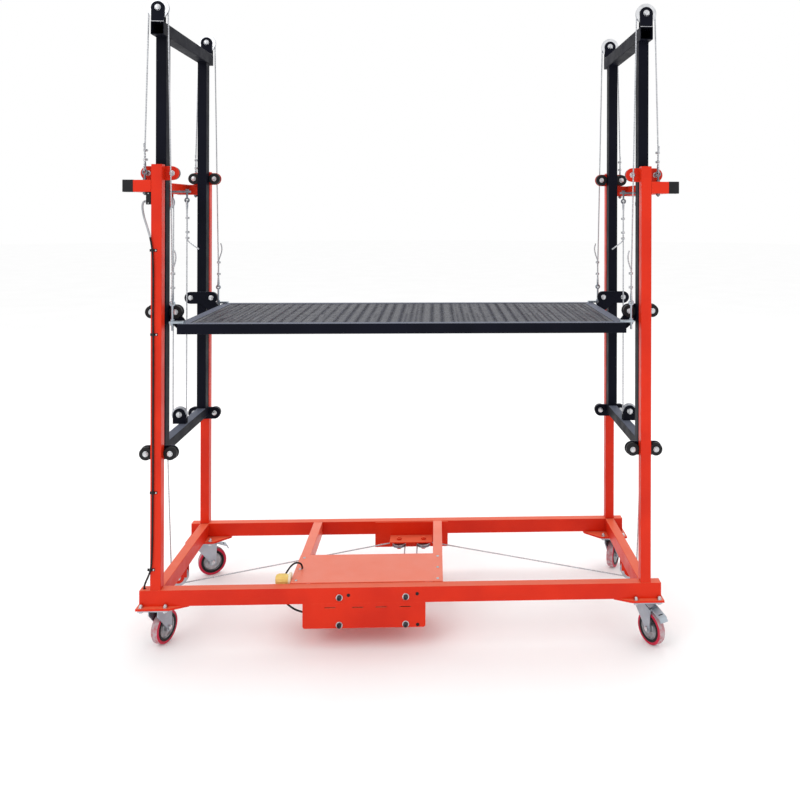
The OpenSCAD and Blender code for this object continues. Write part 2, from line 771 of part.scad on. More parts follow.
// ---- casters ----

// Puts its children on the swivel axis of one caster, turned as it stands
module at_caster(i) {
    place = caster_turns[i];
    translate([place[0] * swivel_x, place[1] * swivel_y, 0]) rotate([0, 0, place[2]]) children();
}

// Fork with its crown, legs and axle; the axle trails towards the fork's own +X
module fork(i) {
    crown_z1 = caster_h - caster_plate_t - crown_gap;
    crown_z0 = crown_z1 - crown_h - 1;
    leg_y = wheel_w / 2 + leg_gap;
    color(zinc) at_caster(i) {
        difference() {
            union() {
                translate([0, 0, crown_z0]) cylinder(d = 60, h = crown_z1 - crown_z0);
                block([-26, -leg_y, crown_z0], [26, leg_y, crown_z0 + fork_sheet]);
            }
            translate([0, 0, crown_z0 - 1]) cylinder(d = king_d + 2 * run_gap, h = crown_h + 4);
        }
        for (y0 = [-leg_y - fork_sheet, leg_y])
            difference() {
                upright_plate(y0, fork_sheet) union() {
                    polygon([
                        [-26, crown_z0 + fork_sheet], [26, crown_z0 + fork_sheet],
                        [pedal_pin_x + 9, pedal_pin_z + 4], [pedal_pin_x + 9, pedal_pin_z - 10],
                        [caster_trail + 15, wheel_r + 4], [caster_trail - 15, wheel_r + 4], [-26, crown_z0 - 20]]);
                    translate([caster_trail, wheel_r]) circle(15.5);
                }
                rod_y(caster_trail, wheel_r, axle_d, y0 - 1, y0 + fork_sheet + 1);
                rod_y(pedal_pin_x, pedal_pin_z, pedal_pin_d, y0 - 1, y0 + fork_sheet + 1);
            }
        rod_y(caster_trail, wheel_r, axle_d, -leg_y - fork_sheet, leg_y + fork_sheet);
        hex_y(caster_trail, wheel_r, axle_d + 6, leg_y + fork_sheet, leg_y + fork_sheet + 6);
        hex_y(caster_trail, wheel_r, axle_d + 6, -leg_y - fork_sheet - 6, -leg_y - fork_sheet);
        rod_y(pedal_pin_x, pedal_pin_z, pedal_pin_d, -leg_y - fork_sheet, leg_y + fork_sheet);
    }
}

// Wheel as two solids: the tyre, and the core with its rim, web and hub
module wheel(i) {
    half = wheel_w / 2;
    tyre_in = wheel_r - 13;
    bore_r = axle_d / 2 + run_gap;
    at_caster(i) translate([caster_trail, 0, wheel_r]) rotate([90, 0, 0]) {
        color(wine) rotate_extrude($fn = 72)
            polygon([
                [tyre_in, -half + 1], [wheel_r - 5, -half], [wheel_r - 1, -half + 5], [wheel_r, -half + 10],
                [wheel_r, half - 10], [wheel_r - 1, half - 5], [wheel_r - 5, half], [tyre_in, half - 1]]);
        color(zinc) rotate_extrude($fn = 72)
            polygon([
                [bore_r, -half - 1], [14, -half - 1], [16, -7], [tyre_in - 6, -5], [tyre_in - 5, -half + 1],
                [tyre_in, -half + 1], [tyre_in, half - 1], [tyre_in - 5, half - 1], [tyre_in - 6, 5],
                [16, 7], [14, half + 1], [bore_r, half + 1]]);
    }
}

// Brake pedal on its own cross pin, over the wheel
module pedal(i) {
    half = wheel_w / 2 + leg_gap - side_gap;
    x = pedal_pin_x;
    z = pedal_pin_z;
    color(zinc) at_caster(i) difference() {
        union() {
            rod_y(x, z, 15, -half, half);
            upright_plate(-half, 2 * half)
                polygon([
                    [x - 6, z + 4], [x + 12, z + 9], [x + 56, z - 9], [x + 65, z - 24],
                    [x + 61, z - 26], [x + 53, z - 13], [x + 12, z + 4.5], [x, z]]);
        }
        rod_y(x, z, pedal_pin_d + 2 * run_gap, -half - 1, half + 1);
    }
}

front_beam();
back_beam();
side_beams();
cross_beams();
corner_plates();
caster_plates();
hex_bolts();
front_uprights();
back_uprights();
head_tubes();
arm_end_caps();
upper_roller_plates();
upper_rollers();
pulley_brackets();
guide_pulley_plate();
rope_anchors();
winch_housing();
winch_cover();
winch_motor();
base_ropes();
limit_switch();
cables();
lead_connector();
mast_frame(-1);  // left_mast_frame
mast_roller_plates(-1);  // left_mast_roller_plates
mast_rollers(-1);  // left_mast_rollers
mast_brackets(-1);  // left_mast_brackets
mast_frame(1);  // right_mast_frame
mast_roller_plates(1);  // right_mast_roller_plates
mast_rollers(1);  // right_mast_rollers
mast_brackets(1);  // right_mast_brackets
platform_frame();
platform_deck();
platform_roller_plates();
platform_rollers();
platform_eye_bolts();
platform_ropes();
mast_pulleys(-1);  // left_mast_pulleys
mast_pulleys(1);  // right_mast_pulleys
lift_pulley(-1);  // left_lift_pulley
lift_pulley(1);  // right_lift_pulley
top_pulley(-1);  // left_top_pulley
top_pulley(1);  // right_top_pulley
base_pulley(-1);  // left_base_pulley
base_pulley(1);  // right_base_pulley
guide_pulley(guide_xs[0]);  // left_guide_pulley
guide_pulley(guide_xs[1]);  // right_guide_pulley
winch_drum();
fork(0);  // front_left_fork
fork(1);  // front_right_fork
fork(2);  // back_left_fork
fork(3);  // back_right_fork
wheel(0);  // front_left_wheel
wheel(1);  // front_right_wheel
wheel(2);  // back_left_wheel
wheel(3);  // back_right_wheel
pedal(0);  // front_left_pedal
pedal(1);  // front_right_pedal
pedal(2);  // back_left_pedal
pedal(3);  // back_right_pedal
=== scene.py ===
# %% [markdown]
# # An electric lifting scaffold
# The object is a wheeled red base with four uprights, a black sliding mast at each end and a mesh
# platform that hangs from wire ropes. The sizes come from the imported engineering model, so this
# lesson is about finishes, ropes and the small parts that make the machine look real.

# %% Load the model
import math
import bpy
from mathutils import Matrix, Vector


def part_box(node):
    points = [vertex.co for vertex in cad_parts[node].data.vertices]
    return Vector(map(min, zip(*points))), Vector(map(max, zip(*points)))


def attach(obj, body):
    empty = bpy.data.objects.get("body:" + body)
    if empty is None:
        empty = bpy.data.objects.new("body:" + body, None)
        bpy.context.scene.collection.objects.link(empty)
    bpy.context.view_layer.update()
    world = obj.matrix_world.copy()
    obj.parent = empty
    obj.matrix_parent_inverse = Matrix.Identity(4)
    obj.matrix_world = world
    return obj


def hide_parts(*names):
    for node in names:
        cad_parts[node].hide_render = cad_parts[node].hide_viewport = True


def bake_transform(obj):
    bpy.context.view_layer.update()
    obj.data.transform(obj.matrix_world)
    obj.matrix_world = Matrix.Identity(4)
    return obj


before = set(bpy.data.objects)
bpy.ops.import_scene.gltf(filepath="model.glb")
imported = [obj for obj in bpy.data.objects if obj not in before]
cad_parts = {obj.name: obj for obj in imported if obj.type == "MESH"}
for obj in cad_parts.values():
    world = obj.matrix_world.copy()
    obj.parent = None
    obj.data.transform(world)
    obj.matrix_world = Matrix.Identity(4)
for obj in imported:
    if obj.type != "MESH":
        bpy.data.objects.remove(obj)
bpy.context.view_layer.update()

# %% [markdown]
# ## Camera
# The machine stands square to the viewer, a little over three metres away, seen from about eye
# height. The aim is nearly level, so upright tubes stay upright, and the lens is shifted instead,
# as an architect's camera is.

# %% Camera
camera_data = bpy.data.cameras.new("camera")
camera_data.lens = 36.64
camera_data.sensor_width = 36
camera_data.shift_x = -0.085
camera_data.shift_y = -0.24
camera = bpy.data.objects.new("camera", camera_data)
bpy.context.scene.collection.objects.link(camera)
turn_right = Matrix.Rotation(math.radians(-2.26), 4, "Z")
tip_down = Matrix.Rotation(math.radians(90.05), 4, "X")
roll = Matrix.Rotation(math.radians(0.14), 4, "Z")
camera.matrix_world = Matrix.Translation((0.121, -3.486, 1.691)) @ turn_right @ tip_down @ roll
bpy.context.scene.camera = camera
print("camera at", [round(v, 2) for v in camera.matrix_world.translation])

# %% [markdown]
# ## Working by hand, in code
# Every operator acts on what is selected, so each step starts with nothing selected. Four helpers
# cover most of the work: one starts a piece clean, one applies its modifiers, one closes and
# smooths a finished mesh, and one says what it rides on and what it is made of.

# %% Modelling helpers
X_AXIS, Z_AXIS = Vector((1, 0, 0)), Vector((0, 0, 1))
MERGE = 0.00001


def pick(*objects):
    """Selects these objects only and makes the first one active."""
    if bpy.context.object and bpy.context.object.mode != "OBJECT":
        bpy.ops.object.mode_set(mode="OBJECT")
    bpy.ops.object.select_all(action="DESELECT")
    for o in objects:
        o.select_set(True)
    bpy.context.view_layer.objects.active = objects[0] if objects else None


def apply_all(piece):
    """Applies the piece's modifiers, top to bottom."""
    pick(piece)
    for modifier in [m.name for m in piece.modifiers]:
        bpy.ops.object.modifier_apply(modifier=modifier)
    return piece


def close_up(piece, angle=35):
    """Merges doubles, turns the faces outwards and smooths all but the sharp edges."""
    pick(piece)
    bpy.ops.object.transform_apply(location=True, rotation=True, scale=True)
    bpy.ops.object.mode_set(mode="EDIT")
    bpy.ops.mesh.select_all(action="SELECT")
    bpy.ops.mesh.remove_doubles(threshold=MERGE)
    bpy.ops.mesh.normals_make_consistent(inside=False)
    bpy.ops.object.mode_set(mode="OBJECT")
    bpy.ops.object.shade_smooth_by_angle(angle=math.radians(angle))
    return piece


def soften(piece, width, segments=2, angle=30):
    """Rounds the piece's sharp edges for real."""
    bevel = piece.modifiers.new("round", "BEVEL")
    bevel.width = width
    bevel.segments = segments
    bevel.limit_method = "ANGLE"
    bevel.angle_limit = math.radians(angle)
    return apply_all(piece)


def hand_over(piece, name, body, material, replaced=()):
    """Names a finished piece and says its material, its body and the nodes that it stands for."""
    piece.name = name
    piece.data.name = name
    piece.data.materials.clear()
    piece.data.materials.append(material)
    if body:
        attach(piece, body)
    if replaced:
        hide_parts(*replaced)
    print(f"{name}: {len(piece.data.polygons)} faces")
    return piece


# %% [markdown]
# ## Starting shapes
# Sheet metal starts as a ring of points that is filled and pulled up to its thickness. A turned
# part starts as its own section and is spun about Z. A block starts as a cube at its size.

# %% Starting shapes
def sheet_metal(outline, thickness):
    """A flat piece with this outline in X and Y, from Z 0 up to its thickness."""
    pick()
    bpy.ops.mesh.primitive_circle_add(vertices=len(outline), radius=1, fill_type="NOTHING")
    piece = bpy.context.object
    for vertex, (x, y) in zip(piece.data.vertices, outline):
        vertex.co = (x, y, 0)
    bpy.ops.object.mode_set(mode="EDIT")
    bpy.ops.mesh.select_all(action="SELECT")
    bpy.ops.mesh.edge_face_add()
    bpy.ops.mesh.extrude_region_move(TRANSFORM_OT_translate={"value": (0, 0, thickness)})
    bpy.ops.object.mode_set(mode="OBJECT")
    return piece


def turned(section, steps=48):
    """A body turned about Z from a closed section of (radius, height) points."""
    pick()
    bpy.ops.mesh.primitive_circle_add(vertices=len(section), radius=1, fill_type="NOTHING")
    piece = bpy.context.object
    for vertex, (radius, height) in zip(piece.data.vertices, section):
        vertex.co = (radius, 0, height)
    bpy.ops.object.mode_set(mode="EDIT")
    bpy.ops.mesh.select_all(action="SELECT")
    bpy.ops.mesh.spin(steps=steps, angle=math.tau, center=(0, 0, 0), axis=(0, 0, 1))
    bpy.ops.object.mode_set(mode="OBJECT")
    return close_up(piece)


def block(low, high, round_by=0.0):
    """A block between two corners, with its edges rounded."""
    low, high = Vector(low), Vector(high)
    pick()
    bpy.ops.mesh.primitive_cube_add(size=1, location=(low + high) / 2)
    piece = bpy.context.object
    piece.scale = high - low
    bpy.ops.object.transform_apply(location=True, rotation=True, scale=True)
    return soften(piece, round_by) if round_by else piece


def prism(radius, height, sides=32, round_by=0.0):
    """A cylinder or hexagon that stands on Z 0."""
    pick()
    bpy.ops.mesh.primitive_cylinder_add(
        vertices=sides, radius=radius, depth=height, location=(0, 0, height / 2))
    piece = bpy.context.object
    bpy.ops.object.transform_apply(location=True, rotation=True, scale=True)
    return soften(piece, round_by, angle=50) if round_by else piece


def facing(direction):
    """The turn that takes Z to a direction."""
    return Vector(direction).to_track_quat("Z", "Y").to_matrix().to_4x4()


def placed(at, direction=(0, 0, 1)):
    """The matrix that stands a piece at a place, pointing a way."""
    return Matrix.Translation(at) @ facing(direction)


def joined(pieces):
    """Several pieces as one mesh."""
    pick(*pieces)
    if len(pieces) > 1:
        bpy.ops.object.join()
    return bpy.context.object


def copies(pattern, places, keep=False):
    """The pattern repeated at each matrix, with its own mesh each time, joined as one piece."""
    made = []
    for place in places:
        twin = pattern.copy()
        twin.data = pattern.data.copy()
        bpy.context.scene.collection.objects.link(twin)
        twin.data.transform(place)
        if place.determinant() < 0:
            twin.data.flip_normals()
        made.append(twin)
    if not keep:
        bpy.data.objects.remove(pattern)
    return joined(made)


print("helpers are ready")

# %% [markdown]
# ## Finishes
# Each finish starts from the same few nodes: noise on Object coordinates for slow colour change,
# finer noise for the grain, and a bump. Object coordinates are in metres here, so a noise scale
# of 500 has a grain of about two millimetres.

# %% Node helpers
def start_material(name):
    """A new material, its node tree and its shader."""
    material = bpy.data.materials.new(name)
    material.use_nodes = True
    tree = material.node_tree
    return material, tree, tree.nodes["Principled BSDF"]


def noise(tree, scale, detail=3.0):
    """Noise on Object coordinates."""
    coords = tree.nodes.new("ShaderNodeTexCoord")
    texture = tree.nodes.new("ShaderNodeTexNoise")
    texture.inputs["Scale"].default_value = scale
    texture.inputs["Detail"].default_value = detail
    tree.links.new(coords.outputs["Object"], texture.inputs["Vector"])
    return texture.outputs["Fac"]


def ramp(tree, value, stops):
    """Colours along a value, from (position, colour) stops."""
    node = tree.nodes.new("ShaderNodeValToRGB")
    node.color_ramp.elements[0].position = stops[0][0]
    node.color_ramp.elements[1].position = stops[-1][0]
    for position, _ in stops[1:-1]:
        node.color_ramp.elements.new(position)
    for element, (_, colour) in zip(node.color_ramp.elements, stops):
        element.color = (*colour, 1)
    tree.links.new(value, node.inputs["Fac"])
    return node.outputs["Color"]


def mixed(tree, factor, first, second):
    """Two colours mixed by a factor."""
    node = tree.nodes.new("ShaderNodeMix")
    node.data_type = "RGBA"
    tree.links.new(factor, node.inputs["Factor"])
    for socket, colour in ((node.inputs["A"], first), (node.inputs["B"], second)):
        if isinstance(colour, tuple):
            socket.default_value = (*colour, 1)
        else:
            tree.links.new(colour, socket)
    return node.outputs["Result"]


def spread(tree, value, low, high, to_low=0.0, to_high=1.0):
    """A value's range, moved to another one."""
    node = tree.nodes.new("ShaderNodeMapRange")
    node.inputs["From Min"].default_value = low
    node.inputs["From Max"].default_value = high
    node.inputs["To Min"].default_value = to_low
    node.inputs["To Max"].default_value = to_high
    tree.links.new(value, node.inputs["Value"])
    return node.outputs["Result"]


def bumped(tree, shader, height, strength, distance):
    """A bump on a shader from a height."""
    node = tree.nodes.new("ShaderNodeBump")
    node.inputs["Strength"].default_value = strength
    node.inputs["Distance"].default_value = distance
    tree.links.new(height, node.inputs["Height"])
    tree.links.new(node.outputs["Normal"], shader.inputs["Normal"])


def edge_mask(tree, radius):
    """High along worn edges: where a rounded normal leaves the true one, broken up by noise."""
    rounded = tree.nodes.new("ShaderNodeBevel")
    rounded.samples = 4
    rounded.inputs["Radius"].default_value = radius
    true_normal = tree.nodes.new("ShaderNodeNewGeometry")
    dot = tree.nodes.new("ShaderNodeVectorMath")
    dot.operation = "DOT_PRODUCT"
    tree.links.new(rounded.outputs["Normal"], dot.inputs[0])
    tree.links.new(true_normal.outputs["Normal"], dot.inputs[1])
    edge = spread(tree, dot.outputs["Value"], 0.97, 0.80)
    broken = spread(tree, noise(tree, 90), 0.45, 0.62)
    times = tree.nodes.new("ShaderNodeMath")
    times.operation = "MULTIPLY"
    tree.links.new(edge, times.inputs[0])
    tree.links.new(broken, times.inputs[1])
    return times.outputs["Value"]


# %% [markdown]
# ### Powder coat
# The base is sprayed with powder and baked. The coat is a semi-gloss skin with a faint orange
# peel, slightly darker where it pooled, and chalky on rubbed edges. The faces that look up are
# made
# paler in colour: a painted sheen of the overhead light, with a little dust. The black tubes have
# the same coat in black.

# %% Powder coats
def roughened(tree, shader, scale, gloss, more):
    """Roughness that wanders from gloss up to a little more, so reflections aren't even."""
    tree.links.new(spread(tree, noise(tree, scale), 0.3, 0.7, gloss, gloss + more),
                   shader.inputs["Roughness"])


def powder_coat(name, colour, pooled, rubbed, top_sheen_and_dust, gloss, peel, shine):
    material, tree, shader = start_material(name)
    slow = ramp(tree, noise(tree, 5), [(0.35, pooled), (0.62, colour)])
    speck = spread(tree, noise(tree, 900, 1), 0.40, 0.70, 0.0, 0.22)
    skin = mixed(tree, speck, slow, rubbed)
    worn = spread(tree, edge_mask(tree, 0.0022), 0.0, 1.0, 0.0, 0.65)
    skin = mixed(tree, worn, skin, rubbed)
    # Faces that look up mix towards a paler colour: painted sheen of the overhead light, with a
    # little dust.
    up = tree.nodes.new("ShaderNodeSeparateXYZ")
    tree.links.new(tree.nodes.new("ShaderNodeNewGeometry").outputs["Normal"], up.inputs["Vector"])
    top_sheen_and_dust_mask = spread(tree, up.outputs["Z"], 0.6, 0.98, 0.0, 0.8)
    tree.links.new(mixed(tree, top_sheen_and_dust_mask, skin, top_sheen_and_dust), shader.inputs["Base Color"])
    roughened(tree, shader, 14, gloss, 0.14)
    bumped(tree, shader, noise(tree, 420, 2), peel, 0.0008)
    shader.inputs["Specular IOR Level"].default_value = shine
    shader.inputs["Coat Weight"].default_value = shine * 0.3
    shader.inputs["Coat Roughness"].default_value = 0.25
    return material


# The fifth colour of each coat is its paler top: painted sheen of the overhead light, with a
# little dust.
red_coat = powder_coat("red_powder_coat", (0.66, 0.018, 0.0015), (0.56, 0.011, 0.001),
                       (0.80, 0.10, 0.04), (0.82, 0.155, 0.075), 0.34, 0.16, 0.16)
pink_coat = powder_coat("textured_red_coat", (0.80, 0.09, 0.040), (0.72, 0.06, 0.022),
                        (0.88, 0.30, 0.22), (0.88, 0.215, 0.125), 0.36, 0.6, 0.4)
black_coat = powder_coat("black_powder_coat", (0.0050, 0.0056, 0.0115), (0.0032, 0.0038, 0.0075),
                         (0.020, 0.021, 0.030), (0.150, 0.165, 0.215), 0.42, 0.14, 0.04)
deck_coat = powder_coat("deck_black_coat", (0.0050, 0.0056, 0.0115), (0.0032, 0.0038, 0.0080),
                        (0.110, 0.115, 0.160), (0.016, 0.018, 0.032), 0.24, 0.3, 0.42)
print("powder coats:", red_coat.name, pink_coat.name, black_coat.name, deck_coat.name)

# %% [markdown]
# ### Metals
# Zinc plating is bright with a bluish cast and dull patches. Cast and blackened steel is darker
# and rougher. Wire rope keeps drawn steel's shine with dark grease between the strands, which a
# fine noise gives.

# %% Metals
def metal(name, bright, dull, gloss, grain, scale=60):
    material, tree, shader = start_material(name)
    patches = ramp(tree, noise(tree, scale, 4), [(0.30, dull), (0.65, bright)])
    tree.links.new(patches, shader.inputs["Base Color"])
    roughened(tree, shader, 35, gloss, 0.2)
    shader.inputs["Metallic"].default_value = 1.0
    bumped(tree, shader, noise(tree, 600, 2), grain, 0.0004)
    return material


zinc = metal("zinc_plate", (0.44, 0.49, 0.54), (0.33, 0.37, 0.42), 0.34, 0.06, 14)
dull_zinc = metal("dull_zinc", (0.22, 0.24, 0.27), (0.14, 0.15, 0.17), 0.4, 0.1)
bolt_zinc = metal("bolt_zinc", (0.66, 0.67, 0.69), (0.44, 0.45, 0.47), 0.2, 0.08)
dark_steel = metal("blackened_steel", (0.075, 0.078, 0.085), (0.03, 0.031, 0.035), 0.34, 0.15)
pulley_steel = metal("turned_pulley_steel", (0.55, 0.56, 0.60), (0.34, 0.35, 0.38), 0.28, 0.1)
rope_steel = metal("rope_wire", (0.60, 0.61, 0.64), (0.28, 0.29, 0.31), 0.28, 0.35, 300)
bright_pulley = metal("bright_pulley", (0.78, 0.79, 0.81), (0.58, 0.59, 0.61), 0.26, 0.08)
print("metals:", zinc.name, bolt_zinc.name, dark_steel.name, pulley_steel.name, rope_steel.name)

# %% [markdown]
# ### Plastics and rubber
# The wheels wear a wine-red polyurethane tyre whose tread has picked up grey dust. The rollers and
# end blocks are black nylon, the cable jackets are soft black PVC, and the connector is a yellow
# moulding.

# %% Plastics
def plastic(name, colour, deep, gloss, grain, dust=None):
    material, tree, shader = start_material(name)
    tone = ramp(tree, noise(tree, 25), [(0.35, deep), (0.65, colour)])
    if dust:
        dusted = spread(tree, noise(tree, 70, 5), 0.36, 0.60, 0.35, 0.95)
        tone = mixed(tree, dusted, tone, dust)
    tree.links.new(tone, shader.inputs["Base Color"])
    roughened(tree, shader, 40, gloss, 0.15)
    shader.inputs["Specular IOR Level"].default_value = 0.2
    bumped(tree, shader, noise(tree, 800, 2), grain, 0.0003)
    return material


wine_tyre = plastic("wine_red_tyre", (0.56, 0.022, 0.060), (0.44, 0.012, 0.040), 0.30, 0.15)
dusty_tread = plastic("dusty_tread", (0.50, 0.06, 0.09), (0.36, 0.04, 0.06), 0.55, 0.4,
                      (0.46, 0.38, 0.40))
nylon = plastic("black_nylon", (0.012, 0.012, 0.014), (0.008, 0.008, 0.009), 0.38, 0.2)
jacket = plastic("cable_jacket", (0.014, 0.014, 0.016), (0.009, 0.009, 0.010), 0.45, 0.3)
pale_jacket = plastic("pale_jacket", (0.42, 0.43, 0.45), (0.32, 0.33, 0.35), 0.45, 0.3)
yellow = plastic("yellow_moulding", (0.88, 0.66, 0.24), (0.80, 0.56, 0.16), 0.36, 0.25)
cream = plastic("cream_moulding", (0.82, 0.76, 0.58), (0.74, 0.67, 0.48), 0.4, 0.25)
hub_grey = metal("rim_grey", (0.44, 0.45, 0.47), (0.28, 0.29, 0.31), 0.38, 0.2)
print("plastics:", wine_tyre.name, dusty_tread.name, nylon.name, jacket.name, yellow.name)

# %% [markdown]
# ## Dressing the model's own nodes
# Tubes, plates and pulleys already have the right shape. Their meshes are left alone: a Weld and a
# Bevel modifier give the tubes the small corner radius of rolled steel, and each node gets its
# finish. The front beam is left sharp, because a bevel would streak the shading round its holes.

# %% Dress the nodes
RED_NODES = ["front_beam", "back_beam", "side_beams", "corner_plates", "front_uprights",
             "back_uprights", "head_tubes", "upper_roller_plates", "pulley_brackets",
             "guide_pulley_plate", "winch_housing"]
BLACK_NODES = ["left_mast_frame", "left_mast_roller_plates", "left_mast_brackets",
               "right_mast_frame", "right_mast_roller_plates", "right_mast_brackets",
               "platform_frame", "platform_roller_plates"]
CORNERS = ["front_left", "front_right", "back_left", "back_right"]
ENDS = ["left", "right"]
TUBE_NODES = ["back_beam", "side_beams", "cross_beams", "front_uprights", "back_uprights",
              "head_tubes", "left_mast_frame", "right_mast_frame", "platform_frame"]
TUBE_CORNER, SMALL_CORNER = 0.0022, 0.0012


def dress(node, material, corner=0.0):
    """Gives a node its finish and, if asked, rounded edges."""
    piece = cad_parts[node]
    piece.data.materials.clear()
    piece.data.materials.append(material)
    if corner:
        weld = piece.modifiers.new("weld", "WELD")
        weld.merge_threshold = MERGE
        bevel = piece.modifiers.new("corner", "BEVEL")
        bevel.width = corner
        bevel.segments = 2
        bevel.limit_method = "ANGLE"
        bevel.angle_limit = math.radians(60)


finish_of = {node: red_coat for node in RED_NODES}
finish_of.update({node: black_coat for node in BLACK_NODES})
finish_of.update({"cross_beams": pink_coat, "winch_cover": pink_coat, "caster_plates": zinc,
                  "rope_anchors": dull_zinc, "platform_eye_bolts": zinc, "arm_end_caps": nylon,
                  "upper_rollers": nylon, "platform_rollers": nylon, "winch_drum": pulley_steel,
                  "winch_motor": dark_steel})
for end in ENDS:
    finish_of.update({end + "_mast_rollers": nylon, end + "_mast_pulleys": bright_pulley,
                      end + "_lift_pulley": pulley_steel, end + "_top_pulley": pulley_steel,
                      end + "_base_pulley": pulley_steel, end + "_guide_pulley": pulley_steel})
for corner in CORNERS:
    finish_of.update({corner + "_fork": zinc, corner + "_pedal": zinc})
for node, finish in finish_of.items():
    round_by = TUBE_CORNER if node in TUBE_NODES else 0.0
    if node in ("arm_end_caps", "winch_cover") or "rollers" in node:
        round_by = SMALL_CORNER
    dress(node, finish, round_by)
print(len(finish_of), "nodes dressed")

# %% [markdown]
# ## Where things are
# The ropes and the small parts are placed from the same sizes that the model was drawn with. They
# are the positions of the posts, the ropes' pulleys and the eyes they end in, in metres.

# %% Places
POST_X, POST_Y = 0.940, 0.330
ARM_EYE = Vector((0.990, 0.330, 1.828))
TAB_EYE = Vector((0.885, 0.330, 1.325))
LUG_EYE = Vector((0.930, 0.0, 1.724))
# The straight strands stand a little further out than the bend, so the pulley's rim clears them.
MAST_PULLEY_Z, MAST_PULLEY_R, STRAND_OUT = 2.456, 0.0350, 0.0362
LIFT_PULLEY, TOP_PULLEY, SMALL_R = Vector((0.958, 0, 0.820)), Vector((1.014, 0, 1.714)), 0.028
BASE_PULLEY, BASE_R = Vector((0.958, 0, 0.137)), 0.033
GUIDE_XS, GUIDE_Y, GUIDE_Z = (-0.043, 0.068), 0.255, 0.155
DRUM_Y, DRUM_Z, DRUM_R = -0.190, 0.185, 0.030
BEAM_LOW, BEAM_TOP, FRONT = 0.178, 0.238, -0.350
ROPE_R = 0.0028
print("pulleys on top of the masts at", MAST_PULLEY_Z)

# %% [markdown]
# ## Wire rope
# A wire rope is six strands laid round a core. A plain tube would look like a rod, so the section
# is a six-lobed rose, and it turns steadily along the curve. Blender's curve does this with a
# bevel object and a tilt at each point.

# %% Rope maker
LAY = 0.060      # length of one full turn of the strands
STEP = 0.004     # distance between points along a rope
LOBE_POINTS = 12


def section_curve(name, points):
    """A closed flat curve to sweep along another one."""
    data = bpy.data.curves.new(name, "CURVE")
    spline = data.splines.new("POLY")
    spline.points.add(len(points) - 1)
    for point, (x, y) in zip(spline.points, points):
        point.co = (x, y, 0, 1)
    spline.use_cyclic_u = True
    made = bpy.data.objects.new(name, data)
    bpy.context.scene.collection.objects.link(made)
    return made


def evenly(points, step):
    """The same path with a point every step."""
    path = [Vector(points[0])]
    for a, b in zip(points, points[1:]):
        a, b = Vector(a), Vector(b)
        count = max(1, round((b - a).length / step))
        path += [a.lerp(b, i / count) for i in range(1, count + 1)]
    return path


def eased(points, rounds=3):
    """A path with its corners rounded by cutting them, its ends kept."""
    path = [Vector(p) for p in points]
    for _ in range(rounds):
        cut = [path[0]]
        for a, b in zip(path, path[1:]):
            cut += [a.lerp(b, 0.25), a.lerp(b, 0.75)]
        path = cut + [path[-1]]
    return path


def swept(points, section, twist=0.0):
    """A mesh swept along a path, from a section curve that turns as it goes."""
    data = bpy.data.curves.new("path", "CURVE")
    data.dimensions = "3D"
    data.bevel_mode = "OBJECT"
    data.bevel_object = section
    data.use_fill_caps = True
    spline = data.splines.new("POLY")
    spline.points.add(len(points) - 1)
    travelled, last = 0.0, points[0]
    for point, place in zip(spline.points, points):
        travelled += (place - last).length
        last = place
        point.co = (*place, 1)
        point.tilt = travelled * twist
    piece = bpy.data.objects.new("path", data)
    bpy.context.scene.collection.objects.link(piece)
    pick(piece)
    bpy.ops.object.convert(target="MESH")
    return bpy.context.object


lobes = []
for i in range(LOBE_POINTS):
    lobe_r = ROPE_R * (0.84 + 0.16 * abs(math.cos(math.pi * i / 2)))
    a = math.tau * i / LOBE_POINTS
    lobes.append((lobe_r * math.cos(a), lobe_r * math.sin(a)))
rope_section = section_curve("rope_section", lobes)


def wire_rope(points):
    """A laid rope along a path."""
    return close_up(swept(evenly(points, STEP), rope_section, math.tau / LAY), angle=60)


def arc(centre, radius, first, last, axis="Y", steps=24):
    """Points of an arc, in degrees, in the plane square to Y or to Z."""
    path = []
    for i in range(steps + 1):
        a = math.radians(first + (last - first) * i / steps)
        x, out = radius * math.cos(a), radius * math.sin(a)
        path.append(Vector(centre) + Vector((x, 0, out) if axis == "Y" else (x, out, 0)))
    return path


print("a rope section has", len(lobes), "points")

# %% [markdown]
# ### A rope's end
# The rope goes round a thimble in the eye, comes back beside itself and is held by two clips. The
# end that is left over sticks out a little. The same path, upside down, hangs from the lugs.

# %% Rope ends
REACH = 0.085        # of an end, from its eye to where the straight strand starts
EYE_LIFT = 0.0015    # of the rope's bend over the middle of the ring it hangs in


def rope_eye(ring, up, tail):
    """Path of an end: from the standing part, round the eye and back up to the tail's tip."""
    bottom = ring + Vector((0, 0, up * EYE_LIFT))
    across_up = [(0.0, REACH), (-0.0005, REACH - 0.012), (-0.0027, REACH - 0.024),
                 (-0.0027, 0.046), (-0.0045, 0.036), (-0.0078, 0.024), (-0.0092, 0.014),
                 (-0.0080, 0.005), (-0.0042, 0.0004), (0.0, -0.0006), (0.0042, 0.0004),
                 (0.0080, 0.005), (0.0092, 0.014), (0.0078, 0.024), (0.0045, 0.036),
                 (0.0027, 0.046)]
    path = [bottom + Vector((0, y, up * z)) for y, z in across_up]
    return eased(path + [bottom + Vector((x, y, up * z)) for x, y, z in tail], 2)


thimble_section = section_curve("thimble_section", [
    (-0.0034, 0.0012), (-0.0026, -0.0002), (0.0026, -0.0002), (0.0034, 0.0012),
    (0.0024, 0.0010), (-0.0024, 0.0010)])


